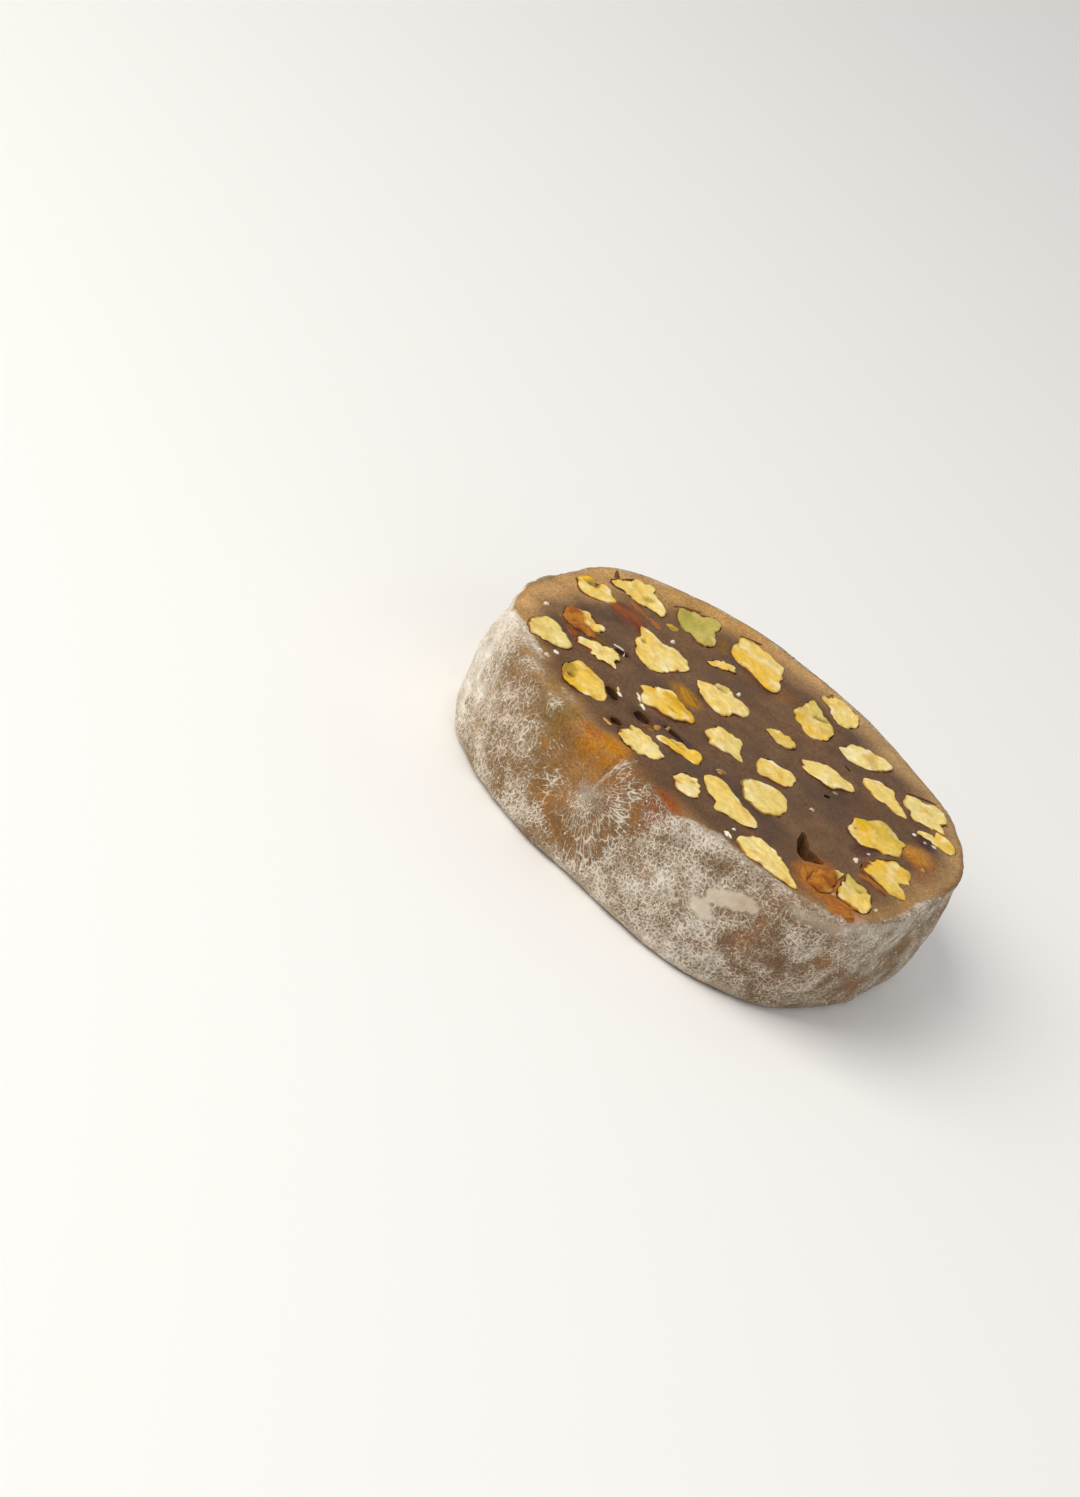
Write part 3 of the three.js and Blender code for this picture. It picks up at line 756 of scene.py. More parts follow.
@dataclass(frozen=True)
class CutOutline:
    """The outline of a kernel where the knife went through it, read from its CAD solid.

    Attributes:
        middle: Where its deepest point lies below, (x, y) in mm.
        level: Height of the cut, mm.
        depth: How far the kernel goes into the jelly, mm.
        side: The face that it shows in.
        angles: Directions of the outline's points, rising, degrees.
        reaches: How far each of them is from the middle, mm.
    """

    middle: np.ndarray
    level: float
    depth: float
    side: Side
    angles: np.ndarray
    reaches: np.ndarray

    @classmethod
    def of_node(cls, node: bpy.types.Object, side: Side, steps: int = 10) -> "CutOutline":
        """Reads the outline of a CAD kernel and rounds its corners.

        Args:
            node: The CAD node.
            side: The face that the kernel shows in.
            steps: Points made between two corners.

        Returns:
            The outline.
        """
        places = np.unique(np.round(corners(node.data), 3), axis=0)
        height = places[:, 2] * side.value
        deepest = places[height.argmin()]
        rim = places[height > height.max() - 0.01][:, :2] - deepest[:2]
        rim = rim[np.hypot(rim[:, 0], rim[:, 1]) > 0.1]
        rim = rim[np.argsort(compass(rim[:, 0], rim[:, 1]))]
        depth = height.max() - height.min()
        return cls.through(rim, deepest[:2], float(height.max() * side.value), float(depth), side, steps)

    @classmethod
    def through(
        cls, rim: np.ndarray, middle: np.ndarray, level: float, depth: float, side: Side, steps: int = 10
    ) -> "CutOutline":
        """Leads a smooth outline through corners.

        Args:
            rim: The corners, counted from the middle, in the order of their directions, mm.
            middle: Where the deepest point lies below.
            level: Height of the cut, mm.
            depth: How far the form goes into the jelly, mm.
            side: The face that it shows in.
            steps: Points made between two corners.

        Returns:
            The outline.
        """
        before, after, later = np.roll(rim, 1, 0), np.roll(rim, -1, 0), np.roll(rim, -2, 0)
        smooth = []
        for t in np.arange(steps) / steps:
            smooth.append(
                0.5 * (2 * rim + (after - before) * t + (2 * before - 5 * rim + 4 * after - later) * t**2
                       + (3 * rim - before - 3 * after + later) * t**3)
            )
        curve = np.concatenate(smooth)
        curve = curve[np.argsort(compass(curve[:, 0], curve[:, 1]))]
        reaches = np.hypot(curve[:, 0], curve[:, 1])
        return cls(middle, level, depth, side, compass(curve[:, 0], curve[:, 1]), reaches)

    def reach(self, angle: np.ndarray) -> np.ndarray:
        """Returns how far the outline is from the middle towards each angle in degrees."""
        return np.interp(turn_between(angle, 0), self.angles, self.reaches, period=360)

    def length(self) -> tuple[float, float]:
        """Returns the direction of the longest way across, in degrees, and half its length."""
        around = np.arange(0, 180, 3.0)  # compass degrees
        across = self.reach(around) + self.reach(around + 180)
        best = int(across.argmax())
        return float(around[best]), float(across[best] / 2)

    def socket(self, steps: int, gap: float, over: float = 1.2) -> Form:
        """Shapes the hollow that the kernel sits in, run on past the cut face so that it can be cut away.

        Args:
            steps: Corners round it.
            gap: How much wider than the kernel it is, mm.
            over: How far it runs on past the cut, mm.

        Returns:
            Points in mm and faces that point outwards.
        """
        bowl = [(s, -c * (self.depth + gap)) for c, s in map(unit, (18, 36, 54, 70))]
        profile = [*bowl, (1.0, -0.25 * gap), (1.0, over)]
        around = all_round(steps)
        reach = self.reach(around) + gap
        rows = [self.ring(around, reach * share, self.level + self.side.value * z) for share, z in profile]
        return lathe(rows, self.point_at(-self.depth - gap), self.point_at(over), self.side is Side.LOWER)

    def ring(self, around: np.ndarray, reach: np.ndarray, height: float | np.ndarray) -> np.ndarray:
        """Returns a ring of points at a height, each as far from the middle as its reach."""
        turn = np.radians(around)
        flat = [self.middle[0] + reach * np.cos(turn), self.middle[1] + reach * np.sin(turn)]
        return np.stack([*flat, np.broadcast_to(height, reach.shape)], 1)

    def point_at(self, z: float) -> np.ndarray:
        """Returns the point on the kernel's axis at a distance from its cut, outwards."""
        return np.array([*self.middle, self.level + self.side.value * z])


def lathe(rings: Sequence[np.ndarray], start: np.ndarray, end: np.ndarray, inverted: bool) -> Form:
    """Joins rings of points, from one pole to the other, into a closed skin.

    Args:
        rings: Rings with the same number of points, anticlockwise seen from the end.
        start: The pole before the first ring.
        end: The pole after the last one.
        inverted: Whether the faces are turned round.

    Returns:
        The points and the faces.
    """
    count = len(rings[0])
    points = np.concatenate([start[None], *rings, end[None]])
    last = len(points) - 1
    here = np.arange(count)
    there = (here + 1) % count
    faces = [(0, b + 1, a + 1) for a, b in zip(here, there)]
    for low in range(1, last - count, count):
        faces += [(low + a, low + b, low + count + b, low + count + a) for a, b in zip(here, there)]
    faces += [(last - count + a, last - count + b, last) for a, b in zip(here, there)]
    if inverted:
        faces = [f[::-1] for f in faces]
    return points, faces


@dataclass
class CutKernel:
    """One pistachio kernel, cut off level with the face of the slice.

    Attributes:
        node: Name of the CAD node that it replaces.
        slot: The record's material slot.
        outline: Where the knife went through it.
        marks: What sets it apart.
        seed: Picks its own unevenness.
        steps: Points round its outline.
        stand: How far the cut stands above the jelly's face, mm.
        wander: How far the cut surface rises and falls, mm.
        edge_round: How far its edge is rounded, mm.
    """

    node: str
    slot: str
    outline: CutOutline
    marks: Marks
    seed: int
    steps: int = 112
    stand: float = 0.05
    wander: float = 0.17
    edge_round: float = 0.1
    shares: tuple[float, ...] = (
        0.995, 0.975, 0.945, 0.905, 0.855, 0.795, 0.725, 0.65, 0.57, 0.48, 0.39, 0.3, 0.2, 0.1,
    )

    PALE = "#f0d98c"
    YELLOW = "#ecba14"
    GREEN = "#a9a142"
    TORN = "#f7ecc4"
    DEEP = "#c8961c"
    RIM = "#a8821e"
    SKINS = ("#b5741c", "#96521a")
    UNDER = "#6a4424"
    UNDER_STEPS = (14, 28, 42, 55, 67, 78, 86)  # rings of the underside, degrees from its pole

    def build(self, material: bpy.types.Material) -> bpy.types.Object:
        """Makes the kernel's mesh with its painted tint.

        Args:
            material: The kernel's finish.

        Returns:
            The finished piece, tied to the frame.
        """
        rings, shares = self._rings()
        pole = self.outline.point_at(-self.outline.depth)
        points, faces = lathe(rings, pole, self._crown(), self.outline.side is Side.LOWER)
        points[:, 2] = np.maximum(points[:, 2], FLOOR_GAP)
        share = np.concatenate([[0.0], np.repeat([s for s, _ in shares], self.steps), [0.0]])
        below = np.concatenate([[1.0], np.repeat([b for _, b in shares], self.steps), [0.0]])
        piece = mesh_object(self.node.replace("kernel", "pistachio"), points, faces)
        store(piece.data, "tint", self._tint(points, share, below))
        store(piece.data, "grain", self._grain(points))
        piece.data.materials.append(material)
        return finished(piece, self.slot, self.node)

    def _rings(self) -> tuple[list[np.ndarray], list[tuple[float, float]]]:
        """Shapes the kernel from its underside to the cut face.

        Returns:
            The rings, and for each its share of the outline and whether it is under the cut (1) or on it (0).
        """
        around = all_round(self.steps)
        full = self.outline.reach(around) - self._notches(around)
        rings, shares = [], []
        for drop, share in map(unit, self.UNDER_STEPS):
            height = self.outline.level - self.outline.side.value * self.outline.depth * drop
            rings.append(self.outline.ring(around, full * share, height))
            shares.append((share, 1.0))
        for number, share in enumerate((1.0, *self.shares)):
            ring = self.outline.ring(around, full * share, self.outline.level)
            away = full * (1 - share)
            ring[:, 2] += self.outline.side.value * self._height(ring, away)
            rings.append(ring)
            shares.append((share, 1.0 if number == 0 else 0.0))
        return rings, shares

    def _notches(self, around: np.ndarray) -> np.ndarray:
        """Tears the edge.

        Args:
            around: Directions from the middle, degrees.

        Returns:
            How deep the edge is notched towards each of them, mm.
        """
        reach = self.outline.reach(around)
        turn = np.radians(around)
        rim = np.stack([reach * np.cos(turn), reach * np.sin(turn), np.zeros(len(reach))], 1)
        torn = eased(ripple(rim + self.seed, 3.5, self.seed + 3, 1), -0.5, 0.6)
        small = np.abs(ripple(rim + self.seed, 0.9, self.seed))
        return self.marks.ragged * (0.15 + 0.85 * torn) * small * 1.5

    def _height(self, points: np.ndarray, away: np.ndarray) -> np.ndarray:
        """Gives the height of the cut surface.

        Args:
            points: Places on the cut, mm.
            away: How far each of them is from the outline, mm.

        Returns:
            The height over the cut's level, outwards, mm.
        """
        rough = 1 + 1.2 * self.marks.skin_face + 1.5 * self.marks.ragged
        height = self.stand + self.wander * ripple(points, 3.2, self.seed + 11, 3) * rough
        height += 0.07 * rough * ripple(points, 0.8, self.seed + 12)
        height -= self.edge_round * (1 - eased(away, 0, 0.3)) ** 2
        for pit in self.marks.pits:
            height -= pit.depth * (1 - eased(self._from_pit(points, pit), 0.35, 1.25))
        if self.marks.skin_face:
            height += 0.3 * eased(away, 0, 2.2) - 0.12
            height += 0.1 * np.abs(ripple(points, 1.3, self.seed + 13))
        return height

    def _from_pit(self, points: np.ndarray, pit: Pit) -> np.ndarray:
        """Returns how far each point is from a pit's middle, 1 at its edge, unevenly."""
        away = pit.away(points[:, :2] - self.outline.middle)
        return away + 0.25 * ripple(points, 0.9, self.seed + 21)

    def _crown(self) -> np.ndarray:
        """Returns the middle point of the cut."""
        top = self.outline.point_at(0)
        top[2] += self.outline.side.value * self._height(top[None], np.array([3.0]))[0]
        return top

    def _tint(self, points: np.ndarray, share: np.ndarray, below: np.ndarray) -> np.ndarray:
        """Paints the kernel.

        Args:
            points: The mesh's points, mm.
            share: Share of the outline where each of them lies.
            below: 1 for points under the cut, 0 for points on it.

        Returns:
            A linear colour for each point.
        """
        marks = self.marks
        local = points[:, :2] - self.outline.middle
        angle = compass(local[:, 0], local[:, 1])
        reach = self.outline.reach(angle)
        away = reach * (1 - share)
        half = self.outline.length()[1]

        def slope(direction: float) -> np.ndarray:
            """Rises from -1 to 1 across the kernel towards a direction."""
            c, s = unit(direction)
            return np.clip((local[:, 0] * c + local[:, 1] * s) / half, -1, 1)

        blotch = ripple(points, 2.4, self.seed + 31)
        tone = marks.tone + marks.shift * slope(marks.towards) + 0.16 * blotch
        tint = blend(filled(self.PALE, len(points)), self.YELLOW, tone)
        if marks.green:
            lean = 1.0 if marks.green_towards is None else eased(slope(marks.green_towards), -0.5, 0.7)
            tint = blend(tint, self.GREEN, marks.green * lean * (1 + 0.35 * blotch))
        torn = eased(ripple(points, 1.7, self.seed + 33, 3), 0.1, 0.7) * (1 - 0.45 * eased(away, 0.3, 1.6))
        tint = blend(tint, self.TORN, 0.8 * torn * (1 - marks.green))
        deep = eased(ripple(points, 2.2, self.seed + 34, 3), 0.25, 0.8)
        tint = blend(tint, self.DEEP, 0.5 * deep * (1 - marks.green))
        edge = eased(ripple(points, 2.0, self.seed + 35), -0.2, 0.5) * (1 - eased(away, 0.1, 0.6))
        tint = blend(tint, self.RIM, 0.7 * edge)
        if marks.skin_face:
            sides = slope(marks.bare_towards) + 0.3 * blotch
            bare = eased(sides, marks.skin_face - 0.55, marks.skin_face - 0.2)
            dark = eased(ripple(points, 1.1, self.seed + 37, 3), -0.4, 0.5)
            skin = blend(filled(self.SKINS[0], len(points)), self.SKINS[1], dark)
            tint = tint * bare[:, None] + skin * (1 - bare)[:, None]
        tint = self._paint_skin(tint, points, angle, away)
        # Pit floors: a stain in the shallow ones, painted shade in the deep dark brown holes.
        for pit in marks.pits:
            tint = blend(tint, pit.colour, 0.9 * (1 - eased(self._from_pit(points, pit), 0.55, 1.2)))
        return blend(tint, self.UNDER, below)

    def _paint_skin(
        self, tint: np.ndarray, points: np.ndarray, angle: np.ndarray, away: np.ndarray
    ) -> np.ndarray:
        """Lays the thin dark skin along the outline, a hair wide all round and wider in its arcs.

        Args:
            tint: The colours so far.
            points: The mesh's points, mm.
            angle: Their directions from the middle, degrees.
            away: How far they are from the outline, mm.

        Returns:
            The colours with the skin.
        """
        uneven = ripple(points, 1.2, self.seed + 41)
        hair = 0.13 * eased(ripple(points, 3.0, self.seed + 43, 1), -0.3, 0.5)
        tint = blend(tint, RUST, 0.5 * (1 - eased(away - hair, -0.02, 0.12)))
        for arc in self.marks.skins:
            half = (arc.end - arc.start) / 2
            inside = Stretch(arc.start + half, half * 0.75, half * 1.1).share(angle)
            width = arc.width * inside * (1 + 0.6 * uneven)
            tint = blend(tint, arc.colour, inside * (1 - eased(away - width, -0.1, 0.1)))
        return tint

    def _grain(self, points: np.ndarray) -> np.ndarray:
        """Returns each point's place along, across and through the kernel, mm."""
        c, s = unit(self.outline.length()[0])
        x, y = (points[:, :2] - self.outline.middle).T
        return np.stack([x * c + y * s + 7.7 * self.seed, y * c - x * s, points[:, 2]], 1)


# ---------------------------------------------------------------- the jelly


@dataclass(frozen=True)
class Hollow(Spot):
    """A small hole that a trapped bubble or a lost crumb left in the cut face.

    Attributes:
        depth: How deep it goes, mm.
    """

    depth: float


@dataclass(frozen=True)
class GlowOrShade(Spot):
    """A kernel or a bit of skin sunk in the jelly, which shines through as a soft patch of colour; a dark
    brown patch over a small hole is painted shade in it.

    Attributes:
        colour: Its colour through the jelly; for a dark patch over a hole, the colour of the painted shade.
        strength: How strongly it shows, 0 to 1.
        soft: How wide its edge fades, as a share of its size.
        lift: How far it pushes the face up, mm.
    """

    colour: str
    strength: float = 0.8
    soft: float = 0.6
    lift: float = 0.0


HOLLOWS = (
    Hollow((-19.6, -13.0), (3.8, 1.9), -58, 1.6),
    Hollow((-13.7, -14.4), (3.2, 2.6), -15, 1.5),
    Hollow((-8.4, -13.0), (4.6, 1.4), -16, 1.2),
    Hollow((-16.6, -20.0), (2.3, 1.8), -40, 1.3),
    Hollow((-22.2, 1.0), (2.4, 1.9), 10, 1.2),
    Hollow((16.4, -2.2), (1.5, 0.9), 60, 1.0),
    Hollow((17.0, 9.7), (1.9, 0.7), -35, 0.8),
)

# The air pocket: its middle and depth, and how far it reaches every 15 degrees, as in the CAD solid.
POCKET_AT = (17.5, -22.3)
POCKET_DEPTH = 3.4
POCKET_REACH = (
    3.4, 3.7, 2.8, 2.4, 2.2, 2.2, 3.6, 6.4, 3.6, 2.4, 1.7, 1.4,
    1.3, 1.2, 1.2, 1.4, 1.5, 1.7, 2.0, 2.4, 2.3, 2.3, 2.5, 2.9,
)

# Kernels and skin sunk in the jelly that show through it; the four dark brown patches over the small holes
# are painted shade in them.
GLOWS_AND_SHADES = (
    GlowOrShade((-10.0, 0.4), (6.4, 4.4), -42, "#a8730e", 0.8, 0.4, 0.1),
    GlowOrShade((33.3, -3.2), (6.4, 7.0), -10, "#8f5824", 0.85, 0.35, 0.1),
    GlowOrShade((33.0, -2.8), (4.8, 5.4), -10, "#bd8022", 0.95, 0.4, 0.25),
    GlowOrShade((35.0, -7.6), (3.4, 3.2), -70, "#8a5026", 0.6, 0.7),
    GlowOrShade((21.4, -26.6), (8.4, 11.0), -8, "#a4621c", 0.95, 0.25, 0.12),
    GlowOrShade((26.8, -31.2), (5.6, 5.4), -10, "#a4611a", 0.95, 0.3, 0.15),
    # Painted shade over the small holes, dark brown.
    GlowOrShade((-13.8, -14.3), (4.6, 4.2), 0, "#4c2a0c", 0.7, 0.4),
    GlowOrShade((-7.6, -13.2), (8.6, 2.6), -14, "#42282a", 0.75, 0.4),
    GlowOrShade((-19.6, -13.2), (2.6, 5.0), 25, "#4a2a10", 0.7, 0.5),
    GlowOrShade((-16.8, -20.2), (2.8, 3.0), 0, "#5a3410", 0.8, 0.4),
    GlowOrShade((25.0, -11.8), (3.0, 4.6), -30, "#4a2c26", 0.8, 0.4),
    GlowOrShade((32.8, 2.4), (5.4, 2.6), -15, "#46282a", 0.85, 0.35),
    GlowOrShade((-9.8, 22.8), (2.8, 5.0), 10, "#8a5c14", 0.7, 0.6),
    GlowOrShade((2.5, 19.5), (3.4, 5.4), -10, "#94602a", 0.65, 0.6),
    GlowOrShade((-24.0, -24.4), (6.4, 3.0), -16, "#80601e", 0.8, 0.5),
    GlowOrShade((-15.4, -28.0), (7.6, 7.2), -60, "#b4740a", 1.0, 0.35, 0.25),
    GlowOrShade((-18.4, -26.2), (4.4, 1.8), -25, "#a85c1c", 0.7, 0.5),
    GlowOrShade((-3.8, -32.4), (5.6, 4.0), -30, "#8a4410", 0.85, 0.6, 0.1),
    GlowOrShade((1.0, -21.0), (1.8, 3.2), 80, "#5b3220", 0.5, 0.7),
    GlowOrShade((-30.0, -1.0), (3.6, 5.6), 60, "#6e4420", 0.5, 0.6),
    GlowOrShade((-34.6, 1.0), (3.0, 5.0), 80, "#9a7238", 0.5, 0.8),
    GlowOrShade((9.0, -26.6), (3.0, 1.4), -30, "#7a4a1c", 0.5, 0.7),
    GlowOrShade((-5.0, -1.0), (2.6, 3.4), -30, "#7a4c1c", 0.4, 0.8),
)


@dataclass(frozen=True)
class Flake(Spot):
    """A flake that lies in the cut face: a torn bit of kernel skin or flesh, a crumb or a speck of sugar.

    Attributes:
        colour: Its main colour.
        streak: The colour of the streaks along it.
        proud: How far its middle stands over the face, mm.
        ragged: How torn its outline is, as a share of its size.
    """

    colour: str
    streak: str
    proud: float = 0.06
    ragged: float = 0.3


# Looks of the crumbs that come more than once: colour, streak, how proud and how ragged.
BRIGHT_CRUMB = ("#f2ebdc", "#dccfb8", 0.35, 0.4)
PLAIN_CRUMB = ("#f0e8d8", "#dccfb8", 0.3, 0.4)
GREY_CRUMB = ("#ece2d0", "#cbb99c", 0.25, 0.4)
TORN_FLESH = ("#f2e8c8", "#d8c490", 0.25, 0.5)

FLAKES = (
    Flake((-25.4, 13.4), (8.8, 4.8), -8, "#744026", "#944e22"),
    Flake((-22.6, 11.8), (4.6, 3.0), -48, "#6a3420", "#7c3e1e"),
    Flake((-24.6, 17.6), (5.2, 1.7), -24, "#b0682c", "#8a4a1e", 0.06, 0.5),
    Flake((-20.8, 16.2), (3.4, 1.5), -30, "#a8642a", "#7c401c", 0.06, 0.5),
    Flake((-18.2, 18.5), (2.6, 2.0), 20, "#c8a034", "#a87c1e", 0.1),
    Flake((-9.6, 0.2), (5.4, 3.4), -42, "#b17d16", "#84560e"),
    Flake((28.6, -18.9), (7.4, 2.6), -12, "#713d1a", "#a0642a", 0.16),
    Flake((-26.2, 0.4), (3.6, 3.0), 10, "#5c3c16", "#7a5420", 0.06),
    Flake((-29.8, -2.3), (5.0, 2.4), -38, "#783c1a", "#94521e", 0.12),
    Flake((29.2, 15.2), (6.8, 0.9), 28, "#4a2824", "#6a3a22", 0.1),
    Flake((-17.6, 27.3), (7.4, 0.9), 44, "#6a3020", "#84481e", 0.1),
    Flake((-6.7, 30.4), (4.4, 1.0), 22, "#6a3c14", "#4c280f", 0.1),
    Flake((-29.8, 22.4), (1.3, 6.6), 20, "#5a3424", "#7a4826", 0.08),
    Flake((19.4, -27.6), (2.4, 4.6), 12, "#b37226", "#9a5418", 0.1),
    Flake((26.4, -30.4), (3.8, 1.6), -6, "#a05a18", "#b87826", 0.1),
    Flake((28.0, -32.2), (2.2, 2.4), -40, "#b07024", "#84480f", 0.08),
    Flake((-17.7, -21.4), (2.4, 1.2), -20, "#cf9f52", "#a0681e", 0.14, 0.5),
    Flake((-11.0, -14.4), (2.0, 1.1), 62, "#b98c3c", "#8a5c1c", 0.2, 0.5),
    Flake((-12.0, -15.8), (2.2, 1.1), 20, "#a87c34", "#7a4c18", 0.2, 0.5),
    Flake((-9.6, -12.2), (1.3, 0.6), 70, "#c8a868", "#9a7434", 0.2, 0.5),
    Flake((0.5, -15.0), (2.2, 1.3), 20, "#c09868", "#8a5c2c", 0.35, 0.6),
    Flake((-22.8, 2.0), (2.2, 0.35), 10, "#e6dccb", "#d2c4ac", 0.25, 0.5),
    Flake((-21.6, 0.9), (0.35, 1.9), 12, "#e0d4c0", "#cbbca2", 0.25, 0.5),
    Flake((-16.0, -9.0), (3.2, 0.8), -62, *TORN_FLESH),
    Flake((-14.7, -11.0), (1.6, 0.9), -50, *TORN_FLESH),
    Flake((-18.6, -12.0), (1.3, 1.0), -20, "#f0e4cc", "#d8c49c", 0.3, 0.5),
    Flake((-19.2, -10.9), (0.5, 1.6), 20, "#e6d09c", "#c8a45c", 0.25, 0.5),
    Flake((-16.8, 14.0), (1.1, 1.3), 0, "#f4eee2", "#dccfb8", 0.35, 0.4),
    Flake((-3.5, 10.8), (1.0, 0.9), 0, *BRIGHT_CRUMB),
    Flake((-36.0, 0.7), (1.0, 1.2), 0, *PLAIN_CRUMB),
    Flake((-30.1, -11.3), (1.3, 0.9), 20, *PLAIN_CRUMB),
    Flake((-32.3, -13.7), (0.9, 0.7), 0, *PLAIN_CRUMB),
    Flake((-31.0, -13.9), (1.1, 0.8), 30, *PLAIN_CRUMB),
    Flake((15.4, -9.0), (1.0, 1.1), 0, "#cdbfa8", "#b5a48a", 0.2, 0.4),
    Flake((24.9, -15.3), (1.0, 1.3), 0, *BRIGHT_CRUMB),
    Flake((6.9, -28.8), (0.8, 0.7), 0, "#f2ebdc", "#dccfb8", 0.3, 0.4),
    Flake((6.6, -31.2), (1.4, 1.1), -30, "#f2e8cc", "#dcca98", 0.35, 0.4),
    Flake((24.4, -28.7), (1.0, 1.1), 0, "#cdb48c", "#94703e", 0.3, 0.5),
    Flake((31.0, 2.9), (0.8, 0.9), 0, *GREY_CRUMB),
    Flake((33.0, 2.5), (0.8, 0.6), 0, *GREY_CRUMB),
    Flake((34.5, 3.0), (1.0, 0.7), 20, *GREY_CRUMB),
    Flake((26.2, -11.4), (0.8, 0.5), 20, "#ece2d0", "#cbb99c", 0.2, 0.4),
    Flake((31.0, -25.6), (0.7, 0.8), 0, "#d8c49c", "#a8874c", 0.25, 0.4),
    Flake((34.6, -5.8), (1.0, 0.8), -40, "#d8b47c", "#b08848", 0.2, 0.4),
    Flake((17.2, 0.4), (0.9, 1.0), 0, "#a8927a", "#84684a", 0.15, 0.4),
)

# The jelly lets light in near its edge: compass angle, how far in that shows, mm, and the colour.
EDGE_LIGHT = (
    (-180, 6.5, "#bf9560"),
    (-165, 6.0, "#b5894f"),
    (-145, 6.0, "#bb8a48"),
    (-110, 5.0, "#7f562c"),
    (-75, 3.8, "#96703f"),
    (-45, 4.4, "#9a7345"),
    (-15, 5.6, "#a5804f"),
    (15, 6.4, "#ab8658"),
    (45, 7.4, "#b3905f"),
    (75, 8.2, "#b89060"),
    (100, 8.5, "#b98c4e"),
    (125, 9.0, "#bb9152"),
    (150, 8.5, "#c2965a"),
)

# Share of the wall that the starch hides: compass angle, then at each of DUST_HEIGHTS.
DUST_HEIGHTS = (19.0, 14.0, 9.0, 3.0)
DUST = (
    (-180, 0.84, 0.8, 0.82, 0.84),
    (-167, 0.84, 0.8, 0.76, 0.78),
    (-160, 0.5, 0.5, 0.56, 0.6),
    (-154, 0.34, 0.4, 0.44, 0.48),
    (-145, 0.3, 0.38, 0.42, 0.48),
    (-138, 0.22, 0.3, 0.38, 0.46),
    (-130, 0.12, 0.28, 0.36, 0.48),
    (-122, 0.0, 0.16, 0.26, 0.4),
    (-116, 0.0, 0.2, 0.28, 0.4),
    (-106, 0.24, 0.31, 0.36, 0.52),
    (-98, 0.43, 0.46, 0.48, 0.55),
    (-90, 0.44, 0.45, 0.48, 0.55),
    (-82, 0.46, 0.48, 0.5, 0.58),
    (-74, 0.46, 0.48, 0.5, 0.62),
    (-66, 0.4, 0.24, 0.28, 0.5),
    (-59, 0.42, 0.34, 0.3, 0.45),
    (-50, 0.46, 0.42, 0.36, 0.42),
    (-40, 0.46, 0.4, 0.28, 0.34),
    (-22, 0.46, 0.38, 0.26, 0.34),
    (-8, 0.42, 0.42, 0.44, 0.5),
    (20, 0.42, 0.46, 0.5, 0.6),
    (60, 0.4, 0.48, 0.55, 0.65),
    (95, 0.36, 0.42, 0.5, 0.62),
    (130, 0.34, 0.42, 0.52, 0.65),
    (160, 0.5, 0.62, 0.72, 0.82),
)

# Where the starch ends: compass angle, then how far down from the rim, mm (in from it where below 0).
DUST_LINE = (
    (-173, 0.6), (-168, -2.3), (-161, -3.6), (-149, -2.9), (-142, -2.6), (-134, -2.4), (-124, -1.2),
    (-114, -1.4), (-112, -5.6), (-109, -1.2), (-101, -1.1), (-93, 0.8), (-87, -1.5), (-79, -3.6), (-73, -2.7),
    (-65, -2.7), (-61, -1.2), (-58, -1.2), (-51, -0.4), (-48, 0.3), (-38, -0.5), (-26, -0.7), (-17, -0.7),
    (-6, 0.5), (30, 0.0), (70, -0.9), (110, -0.9), (150, -0.6),
)

# How wide its end fades: compass angle and mm.
DUST_FADE = ((-180, 0.7), (-160, 0.8), (-148, 2.4), (-117, 2.4), (-110, 0.7), (120, 0.6))

# The middle of a star of creases that the drying rind drew together: compass angle and height, mm.
STAR = (-114.8, 14.2)

# The creases of the star run out from its middle and round it.
STAR_RAY = 0.11  # from one ray to the next, radians
STAR_RING = 0.36  # logarithm of how much wider each ring is than the last one
STAR_CORE = 0.3  # radius of its middle, mm
STAR_ENDS = (7.5, 13.0)  # where the plain web begins and where it is alone, mm from the middle

# The plain web: how much tighter than its finish says, and where it is stretched upwards.
NET_TIGHTER = 1.4
NET_TALL = Stretch(-160.0, 15.0, 50.0)

# Unevenness of the wall: height, width and seed of each layer, mm.
WALL_SWELLS = ((0.3, 9.0, 2), (0.16, (2.6, 2.6, 4.0), 3), (0.09, (0.9, 0.9, 1.6), 4))

LEDGE = Stretch(-36.0, 14.0, 26.0)  # here a ledge runs under the rim
PLEATS = Stretch(-178.0, 14.0, 34.0)  # here the rind is pleated up and down
FOOT_PASTE = Stretch(-86.0, 24.0, 34.0)  # here dried paste runs along the foot
RIM_PASTE = Stretch(-43.0, 12.0, 24.0)  # here dried paste runs under the rim

# A leaf and a drop of starch paste that dried smooth: places along the wall from FILM_TOWARDS and up it, mm.
FILM_TOWARDS = -76.0
LEAF = Spot((3.4, 15.4), (8.6, 3.2), 20)
DROP = Spot((0.0, 11.8), (3.0, 4.8), 80)

# Bare jelly under the starch: compass angle and colour.
WALL_TINTS = (
    (-180, "#9c7c52"),
    (-150, "#91693a"),
    (-125, "#8f6430"),
    (-105, "#876035"),
    (-85, "#806040"),
    (-65, "#80593a"),
    (-50, "#7d5a38"),
    (-25, "#856441"),
    (10, "#86663c"),
    (60, "#8d6a38"),
    (120, "#9a7438"),
)


